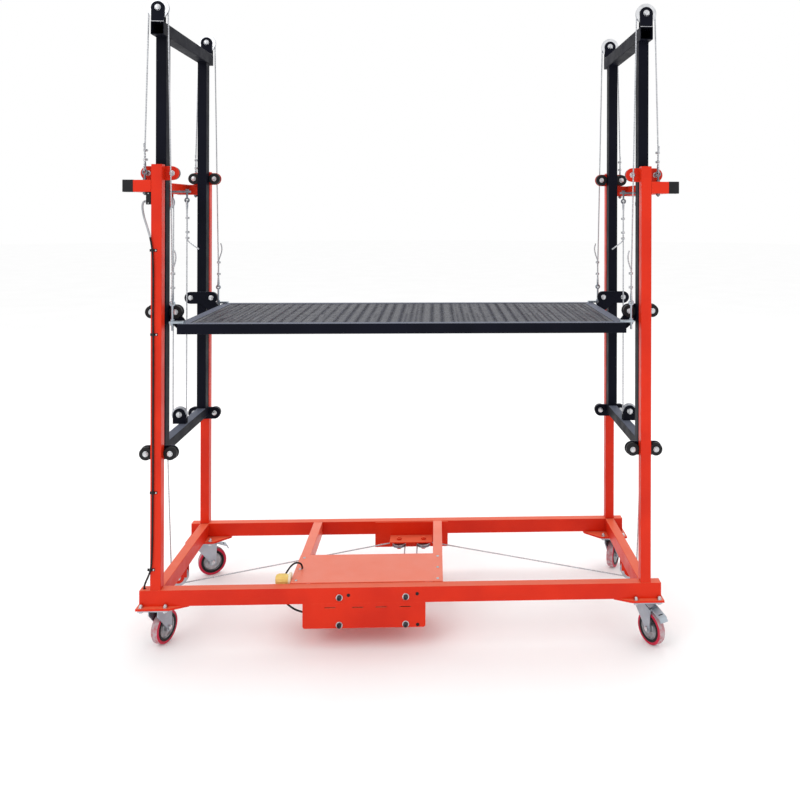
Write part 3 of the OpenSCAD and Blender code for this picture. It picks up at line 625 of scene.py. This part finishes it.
def thimble(ring, up):
    """The thin metal liner of the eye."""
    bottom = ring + Vector((0, 0, up * EYE_LIFT))
    shape = [(-0.0012, 0.036), (-0.0042, 0.025), (-0.0058, 0.014), (-0.0048, 0.0070),
             (-0.0022, 0.0034), (0.0, 0.0028), (0.0022, 0.0034), (0.0048, 0.0070),
             (0.0058, 0.014), (0.0042, 0.025), (0.0012, 0.036)]
    path = eased([bottom + Vector((0, y, up * z)) for y, z in shape], 2)
    return close_up(swept(path, thimble_section))


def round_section(radius, count):
    """Points of a circle."""
    angles = [math.tau * i / count for i in range(count)]
    return [(radius * math.cos(a), radius * math.sin(a)) for a in angles]


def rope_clip():
    """A U-bolt round both ropes, a ribbed saddle and two nuts. It stands at the origin along Z."""
    bow_r, leg_end, seat = 0.0047, 0.0145, 0.0100
    wire = section_curve("clip_wire", round_section(0.0016, 10))
    half_turn = [math.radians(180 + 15 * i) for i in range(13)]
    bow = ([Vector((-bow_r, leg_end, 0))]
           + [Vector((bow_r * math.cos(a), -0.0030 + bow_r * math.sin(a), 0)) for a in half_turn]
           + [Vector((bow_r, leg_end, 0))])
    u_bolt = close_up(swept(bow, wire))
    bpy.data.objects.remove(wire)
    saddle = block((-0.0085, 0.0058, -0.0048), (0.0085, seat, 0.0048), 0.0012)
    rib = block((-0.0030, 0.0042, -0.0036), (0.0030, 0.0062, 0.0036), 0.0006)
    nuts = [prism(0.0033, 0.0032, 6, 0.0003) for _ in range(2)]
    for nut, side in zip(nuts, (-1, 1)):
        nut.data.transform(placed((side * bow_r, seat, 0), (0, 1, 0)))
    return joined([u_bolt, saddle, rib] + nuts)


print("rope ends are ready")

# %% [markdown]
# ### Platform ropes
# Each platform rope starts at an arm's eye bolt, climbs over the pulley on top of the mast and
# comes down to the platform's corner. The mast rises half as far as the platform, so the strands
# change length. Each eye with its tail is rigid and rides on what it is tied to. The straight
# strands are joined into pieces of their own that ride on no body.

# %% Platform ropes
SHORT_TAIL = [(0, 0.0029, 0.080), (0.003, 0.0040, 0.108)]
LOOSE_TAIL = [(0, 0.0029, 0.122), (-0.005, 0.0040, 0.136), (-0.013, 0.0050, 0.160),
              (-0.015, 0.0050, 0.182), (-0.009, 0.0040, 0.202)]
drop_parts, base_eyes, platform_eyes = [], [], []


def mirrored(points, side_x, side_y=1):
    """A path drawn for the right back corner, moved to another one."""
    return [Vector((p.x * side_x, p.y * side_y, p.z)) for p in points]


for end, side in zip(ENDS, (-1, 1)):
    strands, wraps = [], []
    for depth in (-1, 1):
        pulley = Vector((POST_X, POST_Y, MAST_PULLEY_Z))
        arm_end = rope_eye(ARM_EYE, 1, SHORT_TAIL)
        base_eyes.append(wire_rope(mirrored(arm_end, side, depth)))
        strand = [pulley + Vector((STRAND_OUT, 0, 0)), arm_end[0]]
        strands.append(wire_rope(mirrored(strand, side, depth)))
        over = arc(pulley, MAST_PULLEY_R, 0, 180)
        wraps.append(wire_rope(mirrored(over, side, depth)))
        tab_end = rope_eye(TAB_EYE, 1, LOOSE_TAIL)
        platform_eyes.append(wire_rope(mirrored(tab_end, side, depth)))
        drop = [pulley - Vector((STRAND_OUT, 0, 0)), tab_end[0]]
        drop_parts.append(wire_rope(mirrored(drop, side, depth)))
    mast = end + "_mast"
    piece = hand_over(joined(strands), end + "_arm_strands", None, rope_steel)
    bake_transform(piece)
    hand_over(joined(wraps), end + "_mast_rope_bends", mast, rope_steel)
drops = hand_over(joined(drop_parts), "platform_strands", None, rope_steel,
                  ["platform_ropes"])
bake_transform(drops)
hand_over(joined(platform_eyes), "platform_rope_eyes", "platform", rope_steel)

# %% [markdown]
# ### Lift ropes
# A lift rope leaves the drum, turns round a guide pulley at the back, runs to the pulley under the
# base, climbs to the pulley under the tie tube, goes down round the mast's own pulley and up to a
# lug. Only the strands at the mast change length.

# %% Lift ropes
LUG_TAIL = [(0, 0.0029, 0.160), (-0.002, 0.0040, 0.170), (-0.020, 0.0080, 0.186),
            (-0.046, 0.0120, 0.206)]
SMALL_OUT = Vector((SMALL_R, 0, 0))
base_runs = []
for end, side in zip(ENDS, (-1, 1)):
    mast = end + "_mast"
    lug_end = rope_eye(LUG_EYE, -1, LUG_TAIL)
    base_eyes.append(wire_rope(mirrored(lug_end, side)))
    fixed = wire_rope(mirrored([LIFT_PULLEY - SMALL_OUT, lug_end[0]], side))
    piece = hand_over(fixed, end + "_lug_strand", None, rope_steel)
    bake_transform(piece)
    running = wire_rope(mirrored([TOP_PULLEY - SMALL_OUT, LIFT_PULLEY + SMALL_OUT], side))
    piece = hand_over(running, end + "_running_strand", None, rope_steel)
    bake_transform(piece)
    under = wire_rope(mirrored(arc(LIFT_PULLEY, SMALL_R, 180, 360), side))
    hand_over(under, end + "_lift_rope_bend", mast, rope_steel)
    guide = Vector((GUIDE_XS[0] if side < 0 else GUIDE_XS[1], GUIDE_Y, GUIDE_Z))
    base_foot = Vector((side * BASE_PULLEY.x, 0, BASE_PULLEY.z - BASE_R))
    away = base_foot - guide
    leave = math.degrees(math.atan2(away.y, away.x)) + side * 90
    start = 180 if side > 0 else 0
    sweep = (leave - start) % 360 if side < 0 else -((start - leave) % 360)
    base_runs.append(wire_rope([Vector((guide.x - side * SMALL_R, DRUM_Y, GUIDE_Z))]
                               + arc(guide, SMALL_R, start, start + sweep, "Z", 20)
                               + [base_foot]))
    low_turn = arc(BASE_PULLEY, BASE_R, -90, 0, steps=10)
    climb = mirrored(low_turn + arc(TOP_PULLEY, SMALL_R, 0, 180, steps=16), side)
    base_runs.append(wire_rope(climb))
DRUM_TURNS, TURN_POINTS, TURN_PITCH, DRUM_START = 9, 12, 0.0056, -0.015
turns = []
for i in range(TURN_POINTS * DRUM_TURNS):
    a = math.tau * i / TURN_POINTS
    turns.append(Vector((DRUM_START + TURN_PITCH * i / TURN_POINTS,
                         DRUM_Y + DRUM_R * math.sin(a), DRUM_Z - DRUM_R * math.cos(a))))
base_runs.append(wire_rope(turns))
hand_over(joined(base_runs), "winch_ropes", "base", rope_steel, ["base_ropes"])
hand_over(joined(base_eyes), "base_rope_eyes", "base", rope_steel)

# %% [markdown]
# ### Thimbles and clips
# The eyes are lined with thimbles, and two or three clips hold each end. They ride on the body
# that the end is fixed to.

# %% Thimbles and clips
ARM_CLIPS, TAB_CLIPS, LUG_CLIPS = (0.048, 0.084), (0.060, 0.114), (0.075, 0.135, 0.160)
arm_places, tab_places, lug_places, arm_liners, tab_liners = [], [], [], [], []
for side in (-1, 1):
    for depth in (-1, 1):
        arm = Vector((ARM_EYE.x * side, ARM_EYE.y * depth, ARM_EYE.z))
        tab = Vector((TAB_EYE.x * side, TAB_EYE.y * depth, TAB_EYE.z))
        arm_places += [Matrix.Translation(arm + Vector((0, 0, z))) for z in ARM_CLIPS]
        tab_places += [Matrix.Translation(tab + Vector((0, 0, z))) for z in TAB_CLIPS]
        arm_liners.append(thimble(arm, 1))
        tab_liners.append(thimble(tab, 1))
    lug = Vector((LUG_EYE.x * side, 0, LUG_EYE.z))
    lug_places += [Matrix.Translation(lug - Vector((0, 0, z))) for z in LUG_CLIPS]
    arm_liners.append(thimble(lug, -1))
clip = rope_clip()
hand_over(copies(clip, arm_places + lug_places, keep=True), "base_rope_clips", "base",
          bolt_zinc)
hand_over(copies(clip, tab_places), "platform_rope_clips", "platform", bolt_zinc)
hand_over(joined(arm_liners), "base_thimbles", "base", zinc)
hand_over(joined(tab_liners), "platform_thimbles", "platform", zinc)

# %% [markdown]
# ## Mesh deck
# The deck is raised expanded metal: a sheet is slit and pulled, so its strands cross in diamonds
# and stand at a slant. One slanted strand quarter is drawn, turned and mirrored to a full cell,
# repeated in both directions and given its thickness.

# %% Mesh deck
low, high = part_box("platform_deck")
COLUMNS, ROWS = 39, 31
cell_x, cell_y = (high.x - low.x) / COLUMNS, (high.y - low.y) / ROWS
knot_x, knot_y, tilt, strand_t = 0.0085, 0.0034, 0.0017, 0.0016
half_x, half_y = cell_x / 2, cell_y / 2
quarter = [(0, 0, 0), (knot_x, 0, 0), (half_x, half_y - knot_y, -tilt), (half_x, half_y, 0),
           (half_x - knot_x, half_y, 0), (0, knot_y, tilt)]
pick()
bpy.ops.mesh.primitive_circle_add(vertices=6, radius=1, fill_type="NGON")
deck = bpy.context.object
for vertex, place in zip(deck.data.vertices, quarter):
    vertex.co = place
over_x, over_y = Matrix.Rotation(math.pi, 4, "X"), Matrix.Rotation(math.pi, 4, "Y")
deck = copies(deck, [Matrix.Identity(4), over_x, Matrix.Scale(-1, 4, X_AXIS),
                     over_y @ Matrix.Scale(-1, 4, Z_AXIS) @ over_x])
pick(deck)
bpy.ops.object.mode_set(mode="EDIT")
bpy.ops.mesh.select_all(action="SELECT")
bpy.ops.mesh.remove_doubles(threshold=MERGE)
bpy.ops.object.mode_set(mode="OBJECT")
for name, count, step in (("along", COLUMNS, (cell_x, 0, 0)), ("across", ROWS, (0, cell_y, 0))):
    row = deck.modifiers.new(name, "ARRAY")
    row.count = count
    row.use_relative_offset = False
    row.use_constant_offset = True
    row.constant_offset_displace = step
    row.use_merge_vertices = True
    row.merge_threshold = 0.00002
solid = deck.modifiers.new("strand", "SOLIDIFY")
solid.thickness = strand_t
solid.offset = 0
apply_all(deck)
deck.data.transform(Matrix.Translation((low.x + half_x, low.y + half_y, (low.z + high.z) / 2)))
pick(deck)
bpy.ops.object.mode_set(mode="EDIT")
bpy.ops.mesh.select_all(action="SELECT")
bpy.ops.mesh.normals_make_consistent(inside=False)
bpy.ops.object.mode_set(mode="OBJECT")
hand_over(deck, "mesh_deck", "platform", deck_coat, ["platform_deck"])

# %% [markdown]
# ## Wheels
# A caster wheel is three things: a cast grey rim with a hub, a wine-red tyre with a flat tread and
# round shoulders, and black rings that cover the joint between them. Each is turned from its own
# section. The tread has a dustier finish than the tyre's sides, so its faces get a second
# material.

# %% Wheels
WHEEL_R = 0.0625
SWIVEL_X, SWIVEL_Y, TRAIL, FORK_FACE = 0.945, 0.3075, 0.040, 0.0230
TREAD_FROM = 0.0611
CASTER_TURNS = {"front_left": (-1, -1, 70), "front_right": (1, -1, -62),
                "back_left": (-1, 1, 25), "back_right": (1, 1, 62)}


def both_sides(half_section):
    """A section drawn for one side, mirrored to the other and closed."""
    return half_section + [(radius, -height) for radius, height in reversed(half_section)]


tyre_section = both_sides([(0.0495, 0.0140), (0.0560, 0.0160), (0.0592, 0.0154),
                           (0.0612, 0.0132), (0.0621, 0.0100), (WHEEL_R, 0.0050)])
rim_section = both_sides([(0.0051, 0.0170), (0.0120, 0.0170), (0.0136, 0.0158),
                          (0.0150, 0.0090), (0.0180, 0.0064), (0.0330, 0.0056),
                          (0.0372, 0.0072), (0.0394, 0.0120), (0.0412, 0.0142),
                          (0.0495, 0.0142)])
ring_section = [(0.0405, 0.0110), (0.0405, 0.0148), (0.0425, 0.0160), (0.0470, 0.0166),
                (0.0500, 0.0163), (0.0508, 0.0152), (0.0495, 0.0110)]


def on_caster(corner):
    """Where a fork drawn with its swivel on Z stands at this corner."""
    side, depth, angle = CASTER_TURNS[corner]
    return (Matrix.Translation((side * SWIVEL_X, depth * SWIVEL_Y, 0))
            @ Matrix.Rotation(math.radians(angle), 4, "Z"))


def on_wheel(corner):
    """Where a wheel drawn about Z at the origin stands at this corner."""
    return (on_caster(corner) @ Matrix.Translation((TRAIL, 0, WHEEL_R))
            @ Matrix.Rotation(math.radians(90), 4, "X"))


tyre, rim = turned(tyre_section, 72), turned(rim_section, 72)
rings = copies(turned(ring_section, 72), [Matrix.Identity(4), over_x])
for corner in CORNERS:
    body = corner + "_wheel_body"
    place = on_wheel(corner)
    made = hand_over(copies(tyre, [place], keep=True), corner + "_tyre", body,
                     wine_tyre, [corner + "_wheel"])
    made.data.materials.append(dusty_tread)
    axle = place.to_3x3() @ Z_AXIS
    centre = place.translation
    for face in made.data.polygons:
        out = face.center - centre
        radius = (out - axle * out.dot(axle)).length
        if radius > TREAD_FROM:
            face.material_index = 1
    hand_over(copies(rim, [place], keep=True), corner + "_rim", body, hub_grey)
    hand_over(copies(rings, [place], keep=True), corner + "_rim_rings", body, nylon)
for pattern in (tyre, rim, rings):
    bpy.data.objects.remove(pattern)

# %% [markdown]
# ### Axle caps and pedal slots
# The axle's nuts stand out bright against the fork's dull plating. Each brake pedal has a punched
# slot near its end, and a thin dark strip there is painted shade for the slot's opening.

# %% Axle caps and pedal slots
PEDAL_SLOT = Vector((TRAIL + 0.008 + 0.043, 0, 0.136 - 0.0035))
PEDAL_SLOPE = math.atan2(18, 44)
axle_cap = turned([(0, 0), (0.0096, 0), (0.0096, 0.0016), (0.0088, 0.0058), (0.0066, 0.0070),
                   (0, 0.0074)], 32)
# The thin black strip on each pedal is painted shade in place of its punched slot's opening.
slot_shade_strip = block((-0.0021, -0.0100, -0.0003), (0.0021, 0.0100, 0.0008), 0.0003)
for corner in CORNERS:
    stand = on_caster(corner)
    caps = [stand @ placed((TRAIL, face * FORK_FACE, WHEEL_R), (0, face, 0)) for face in (-1, 1)]
    hand_over(copies(axle_cap, caps, keep=True), corner + "_axle_caps", corner + "_fork_body",
              bolt_zinc)
    strip = stand @ Matrix.Translation(PEDAL_SLOT) @ Matrix.Rotation(PEDAL_SLOPE, 4, "Y")
    hand_over(copies(slot_shade_strip, [strip], keep=True), corner + "_pedal_slot",
              corner + "_pedal_body", nylon)
for pattern in (axle_cap, slot_shade_strip):
    bpy.data.objects.remove(pattern)

# %% [markdown]
# ## Bolts
# A bolt head reads as real through its washer, its chamfer and the domed tip of the thread. One
# caster bolt and one housing bolt are modelled and copied to their holes.

# %% Bolts
PLATE_TOP, PLATE_LOW = BEAM_LOW, 0.165


def caster_bolt():
    """Washer, domed nut and shank above the plate, hexagon head below. Z 0 is the plate's top."""
    washer = turned([(0.0048, 0), (0.0092, 0), (0.0092, 0.0012), (0.0086, 0.0016),
                     (0.0048, 0.0016)], 32)
    nut = prism(0.0082, 0.0062, 6, 0.0007)
    nut.data.transform(Matrix.Translation((0, 0, 0.0014)))
    dome = turned([(0, 0.0072), (0.0058, 0.0072), (0.0058, 0.0080), (0.0050, 0.0106),
                   (0.0030, 0.0124), (0, 0.0130)], 24)
    shank = prism(0.0049, 0.0140, 20)
    shank.data.transform(Matrix.Translation((0, 0, -0.0138)))
    head = prism(0.0086, 0.0058, 6, 0.0006)
    head.data.transform(Matrix.Translation((0, 0, PLATE_LOW - PLATE_TOP - 0.0059)))
    return joined([washer, nut, dome, shank, head])


BOLT_DX, BOLT_DY = 0.0455, 0.051
places = []
for side, depth, _ in CASTER_TURNS.values():
    for dx in (-BOLT_DX, BOLT_DX):
        for dy in (-BOLT_DY, BOLT_DY):
            hole = Vector((side * SWIVEL_X + dx, depth * SWIVEL_Y + dy, PLATE_TOP))
            # Each bolt stops at its own angle, as tightened ones do.
            places.append(Matrix.Translation(hole)
                          @ Matrix.Rotation(0.4 * (dx + 3 * dy) / 0.05, 4, "Z"))
hand_over(copies(caster_bolt(), places), "caster_bolts", "base", bolt_zinc,
          ["hex_bolts"])
washer = turned([(0.0052, 0), (0.0130, 0), (0.0130, 0.0014), (0.0122, 0.0020),
                 (0.0052, 0.0020)], 32)
socket = turned([(0.0, 0.0), (0.0094, 0.0), (0.0094, 0.0066), (0.0084, 0.0080),
                 (0.0048, 0.0080), (0.0046, 0.0040), (0.0, 0.0036)], 32)
HOUSING_BOLT_XS, HOUSING_BOLT_ZS = (-0.245, 0.009), (0.200, 0.095)
housing_bolts = [placed((x, FRONT, z), (0, -1, 0))
                 for x in HOUSING_BOLT_XS for z in HOUSING_BOLT_ZS]
hand_over(copies(washer, housing_bolts), "housing_washers", "base", bolt_zinc)
hand_over(copies(socket, [m @ Matrix.Translation((0, 0, 0.0019)) for m in housing_bolts]),
          "housing_bolts", "base", dark_steel)

# %% [markdown]
# ### Heads on the pins
# The rollers and the pulleys turn on zinc-plated bolts. Their heads are bright spots on the black
# and red plates, so each gets a washer and a domed hexagon over the plain one.

# %% Pin heads
def pin_head(across, height):
    """A washer with a domed hexagon, standing on Z 0."""
    radius = across / 2 / math.cos(math.radians(30))
    washer = turned([(0.003, 0), (radius + 0.0012, 0), (radius + 0.0012, 0.0010),
                     (radius + 0.0006, 0.0014), (0.003, 0.0014)], 32)
    head = prism(radius, height, 6, 0.0008)
    dome = turned([(0, height - 0.0002), (across * 0.42, height - 0.0002),
                   (across * 0.38, height + 0.0005), (across * 0.2, height + 0.0010),
                   (0, height + 0.0011)], 24)
    return joined([washer, head, dome])


# Height of each set of guide rollers, and how far its two plates stand from the middle.
UPPER_ROLLERS = 1.825, 0.310, 0.282
MAST_ROLLERS = 0.750, 0.328, 0.300
PLATFORM_ROLLERS = 1.285, 0.268, 0.240
ROLLER_DX, YOKE_FACE, BASE_YOKE_FACE = 0.046, 0.011, 0.017
roller_head, pulley_head = pin_head(0.0168, 0.0053), pin_head(0.0188, 0.0062)
base_heads, platform_heads, base_pulley_heads = [], [], []
mast_heads = {end: [] for end in ENDS}
mast_pulley_heads = {end: [] for end in ENDS}
for end, side in zip(ENDS, (-1, 1)):
    for depth in (-1, 1):
        for step in (-ROLLER_DX, ROLLER_DX):
            x = side * (POST_X + step)
            for heads, (z, outer, inner) in ((base_heads, UPPER_ROLLERS),
                                             (mast_heads[end], MAST_ROLLERS),
                                             (platform_heads, PLATFORM_ROLLERS)):
                heads += [placed((x, depth * outer, z), (0, depth, 0)),
                          placed((x, depth * inner, z), (0, -depth, 0))]
        for face in (-1, 1):
            y = depth * POST_Y + face * YOKE_FACE
            mast_pulley_heads[end].append(placed((side * POST_X, y, MAST_PULLEY_Z), (0, face, 0)))
    for face in (-1, 1):
        for heads, pulley, out in ((mast_pulley_heads[end], LIFT_PULLEY, YOKE_FACE),
                                   (base_pulley_heads, TOP_PULLEY, YOKE_FACE),
                                   (base_pulley_heads, BASE_PULLEY, BASE_YOKE_FACE)):
            heads.append(placed((side * pulley.x, face * out, pulley.z), (0, face, 0)))
hand_over(copies(roller_head, base_heads, keep=True), "upper_roller_heads", "base",
          bolt_zinc)
hand_over(copies(roller_head, platform_heads, keep=True), "platform_roller_heads", "platform",
          bolt_zinc)
hand_over(copies(pulley_head, base_pulley_heads, keep=True), "base_pulley_heads", "base",
          bolt_zinc)
for end in ENDS:
    hand_over(copies(roller_head, mast_heads[end], keep=True), end + "_mast_roller_heads",
              end + "_mast", bolt_zinc)
    hand_over(copies(pulley_head, mast_pulley_heads[end], keep=True), end + "_mast_pulley_heads",
              end + "_mast", bolt_zinc)
for pattern in (roller_head, pulley_head):
    bpy.data.objects.remove(pattern)

# %% [markdown]
# ## Cover screws
# Three dome screws on each side fix the winch cover to the cross beams.

# %% Cover screws
COVER_XS, COVER_YS, COVER_TOP = (-0.420, 0.132), (-0.290, -0.190, -0.085), BEAM_TOP + 0.003
screw = turned([(0, 0), (0.0058, 0), (0.0058, 0.0008), (0.0048, 0.0026), (0.0030, 0.0036),
                (0.0017, 0.0038), (0.0016, 0.0020), (0, 0.0020)], 24)
rows = [Matrix.Translation((x, y, COVER_TOP)) for x in COVER_XS for y in COVER_YS]
hand_over(copies(screw, rows), "cover_screws", "base", bolt_zinc)

# %% [markdown]
# ## Plugs, sleeves and welds
# Spare holes in the front are closed with black plugs. A black plastic sleeve covers the last
# four centimetres of each arm, so that nobody is scratched. Thin bright beads lie at the feet of
# the yokes on the masts: partly welds, and partly a painted highlight along each yoke's foot.

# %% Plugs, sleeves and welds
plug = turned([(0, -0.0002), (0.0064, -0.0002), (0.0066, 0.0006), (0.0056, 0.0013),
               (0, 0.0016)], 24)
PLUGS_XZ = (-0.210, 0.209), (0.053, 0.211), (0.055, 0.093)
plug_places = [placed((x, FRONT, z), (0, -1, 0)) for x, z in PLUGS_XZ]
hand_over(copies(plug, plug_places), "hole_plugs", "base", nylon)
SLEEVE_X, SLEEVE_Y, SLEEVE_Z = (1.026, 1.0679), (0.3096, 0.3504), (1.7515, 1.7985)
sleeves = []
for side in (-1, 1):
    for depth in (-1, 1):
        ends = sorted(side * x for x in SLEEVE_X)
        faces = sorted(depth * y for y in SLEEVE_Y)
        sleeves.append(block((ends[0], faces[0], SLEEVE_Z[0]), (ends[1], faces[1], SLEEVE_Z[1]),
                             0.0022))
hand_over(joined(sleeves), "arm_sleeves", "base", nylon, ["arm_end_caps"])
BEAD_R, BEAD_LENGTH, BEAD_Y, BEAD_Z = 0.0019, 0.048, 0.0118, 2.4025
for end, side in zip(ENDS, (-1, 1)):
    beads = []
    for depth in (-1, 1):
        for face in (-1, 1):
            bead = prism(BEAD_R, BEAD_LENGTH, 10)
            bead.data.transform(placed((side * POST_X - BEAD_LENGTH / 2,
                                        depth * POST_Y + face * BEAD_Y, BEAD_Z), (1, 0, 0)))
            beads.append(close_up(bead))
    # The beads' bright zinc finish is partly a painted highlight along the foot of each yoke.
    hand_over(joined(beads), end + "_yoke_welds", end + "_mast", bolt_zinc)

# %% [markdown]
# ## Cables
# The control cable comes out of the limit switch, with a grey sleeve over its top, and runs down
# the front left upright under four clips. It dips into the front beam and comes out beside the
# winch housing. The connector's lead makes a small open loop beside the cover. Both routes are
# the model's own, in millimetres.

# %% Cables
CABLE_R = 0.0035
ring_points = round_section(CABLE_R, 14)
cable_section = section_curve("cable_section", ring_points)
sleeve_section = section_curve("sleeve_section", [(1.16 * x, 1.16 * y) for x, y in ring_points])
control_route = [
    (-988.3, -330, 1716), (-991, -330, 1716), (-996, -331.5, 1711), (-998, -333, 1700),
    (-996, -336, 1683), (-988, -343, 1655), (-974, -350, 1620), (-961, -354.5, 1580),
    (-952, -354.5, 1530), (-949, -354, 1450), (-950, -354, 1300), (-948, -354, 1120),
    (-949, -354, 900), (-948, -354, 700), (-949, -354, 560), (-950, -354, 420),
    (-953, -354, 330), (-962, -354.5, 300), (-977, -345, 270), (-986, -335, 250),
    (-987, -330, 235), (-980, -330, 220), (-955, -330, 208), (-900, -330, 206),
    (-700, -330, 205), (-520, -330, 205), (-480, -330, 200), (-461, -330, 186),
    (-450, -328, 172), (-436, -322, 156), (-415, -314, 138), (-384, -306, 124)]
lead_route = [
    (-470, -252, 240), (-470, -236, 243), (-462, -222, 254), (-450, -214, 268),
    (-436, -210, 276), (-422, -206, 274), (-414, -200, 266), (-412, -192, 254),
    (-412, -186, 243.2)]


def cable(route, name, material, replaced=(), section=cable_section):
    """A cable along a route, with its length printed."""
    path = eased([Vector(p) / 1000 for p in route], 2)
    piece = close_up(swept(path, section), angle=60)
    length = sum((b - a).length for a, b in zip(path, path[1:]))
    print(name, "is", round(length, 2), "m long")
    return hand_over(piece, name, "base", material, replaced)


cable(control_route, "control_cable", jacket, ["cables"])
cable(lead_route, "connector_lead", jacket)
cable(control_route[1:8], "cable_sleeve", pale_jacket, (), sleeve_section)
STRAP_WIDTH = 0.010
strap = close_up(sheet_metal([
    (-0.0120, -0.0004), (-0.0046, -0.0004), (-0.0040, 0.0052), (0.0000, 0.0088),
    (0.0040, 0.0052), (0.0046, -0.0004), (0.0160, -0.0004), (0.0160, 0.0010),
    (0.0056, 0.0010), (0.0048, 0.0062), (0.0000, 0.0102), (-0.0048, 0.0062),
    (-0.0054, 0.0010), (-0.0120, 0.0010)], STRAP_WIDTH))
strap_screw = turned([(0, 0), (0.0036, 0), (0.0036, 0.0006), (0.0026, 0.0022), (0, 0.0026)], 20)
CLIPS_XZ = (-0.952, 1.530), (-0.949, 1.210), (-0.949, 0.610), (-0.957, 0.318)
to_the_front = Matrix.Diagonal((1, -1, 1, 1))
straps, screws = [], []
for x, z in CLIPS_XZ:
    straps.append(Matrix.Translation((x, FRONT, z - STRAP_WIDTH / 2)) @ to_the_front)
    screws.append(placed((x + 0.0112, FRONT - 0.001, z), (0, -1, 0)))
hand_over(copies(strap, straps), "cable_straps", "base", nylon)
hand_over(copies(strap_screw, screws), "cable_strap_screws", "base", bolt_zinc)

# %% [markdown]
# ## Limit switch
# The switch is a small moulded box under the left arm. It has a lid held by two screws, and the
# cable leaves it through a light grey gland with a hexagon.

# %% Limit switch
GLAND_LENGTH = 0.007
box_low, box_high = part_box("limit_switch")
body_x = box_low.x + GLAND_LENGTH
case = block((body_x, box_low.y, box_low.z), (box_high.x, box_high.y, box_high.z), 0.0018)
lid = block((body_x + 0.002, box_low.y - 0.0016, box_low.z + 0.003),
            (box_high.x - 0.002, box_low.y + 0.002, box_high.z - 0.003), 0.0008)
hand_over(joined([case, lid]), "switch_case", "base", nylon, ["limit_switch"])
gland = turned([(0.0036, -0.002), (0.0060, -0.002), (0.0060, 0.0022), (0.0052, 0.0030),
                (0.0052, 0.0058), (0.0046, GLAND_LENGTH), (0.0036, GLAND_LENGTH)], 32)
gland_nut = prism(0.0070, 0.0030, 6, 0.0004)
_, cable_y, cable_z = control_route[0]
gland_place = placed((body_x, cable_y / 1000, cable_z / 1000), (-1, 0, 0))
hand_over(copies(joined([gland, gland_nut]), [gland_place]), "switch_gland", "base",
          pale_jacket)
lid_screw = turned([(0, 0), (0.0022, 0), (0.0020, 0.0010), (0, 0.0012)], 16)
lid_places = [placed((-0.971, box_low.y - 0.0015, z), (0, -1, 0)) for z in (1.7095, 1.7465)]
hand_over(copies(lid_screw, lid_places), "switch_screws", "base", bolt_zinc)

# %% [markdown]
# ## Lead connector
# The connector is a round yellow plug with ribs for the hand and a pale locking ring against the
# cover's edge. It is turned from one section, and the ribs are copied round it.

# %% Lead connector
low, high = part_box("lead_connector")
centre = (low + high) / 2
length = high.x - low.x
plug = turned([(0, 0), (0.0150, 0), (0.0185, 0.0020), (0.0205, 0.0080), (0.0205, 0.0400),
               (0.0190, 0.0440), (0.0190, 0.0510), (0, 0.0510)], 48)
rib = block((0.0196, -0.0016, 0.0100), (0.0219, 0.0016, 0.0380), 0.0007)
RIBS = 14
ribs = copies(rib, [Matrix.Rotation(math.tau * i / RIBS, 4, "Z") for i in range(RIBS)])
along = placed((low.x, centre.y, centre.z), (1, 0, 0))
hand_over(copies(joined([plug, ribs]), [along]), "connector_body", "base", yellow,
          ["lead_connector"])
lock_ring = turned([(0.0100, 0.0505), (0.0240, 0.0505), (0.0258, 0.0520),
                    (0.0258, length - 0.0015), (0.0245, length), (0.0100, length)], 48)
hand_over(copies(lock_ring, [along]), "connector_ring", "base", cream)

# %% [markdown]
# ## Floor and light
# The machine stands on a plain pale floor under soft studio light: a large softbox from the front
# left, a weaker one from the right and one overhead, which gives the tubes their pale top faces.

# %% Floor and light
pick()
bpy.ops.mesh.primitive_circle_add(vertices=96, radius=40, fill_type="NGON",
                                  location=(0, 0, -0.0005))
floor = bpy.context.object
bpy.ops.object.transform_apply(location=True, rotation=True, scale=True)
floor.name = "floor"
floor_finish, tree, shader = start_material("floor_finish")
paint = ramp(tree, noise(tree, 1.5), [(0.3, (0.975, 0.975, 0.975)), (0.7, (0.995, 0.995, 0.995))])
tree.links.new(paint, shader.inputs["Base Color"])
shader.inputs["Roughness"].default_value = 0.8
shader.inputs["Specular IOR Level"].default_value = 0.0
floor.data.materials.append(floor_finish)
world = bpy.data.worlds.new("studio")
bpy.context.scene.world = world
world.use_nodes = True
world.node_tree.nodes["Background"].inputs["Color"].default_value = (1, 1, 1, 1)
world.node_tree.nodes["Background"].inputs["Strength"].default_value = 1.0
bpy.context.scene.view_settings.view_transform = "Standard"


def softbox(name, place, aim, size, power):
    """A square area light that looks at a point."""
    data = bpy.data.lights.new(name, "AREA")
    data.size = size
    data.energy = power
    lamp = bpy.data.objects.new(name, data)
    bpy.context.scene.collection.objects.link(lamp)
    lamp.location = place
    lamp.rotation_euler = (Vector(aim) - Vector(place)).to_track_quat("-Z", "Y").to_euler()


softbox("key_light", (-3.5, -4.0, 4.2), (0, 0, 0.9), 2.6, 55)
softbox("fill_light", (4.0, -3.5, 2.4), (0, 0, 1.0), 2.4, 12)
softbox("top_light", (0.0, 1.5, 5.5), (0, 0, 0.6), 3.5, 90)
print("floor and three softboxes are set")

# %% [markdown]
# ## Finish
# The section curves were only tools, so they go.

# %% Finish
for tool in ("rope_section", "thimble_section", "cable_section", "sleeve_section"):
    bpy.data.objects.remove(bpy.data.objects[tool])
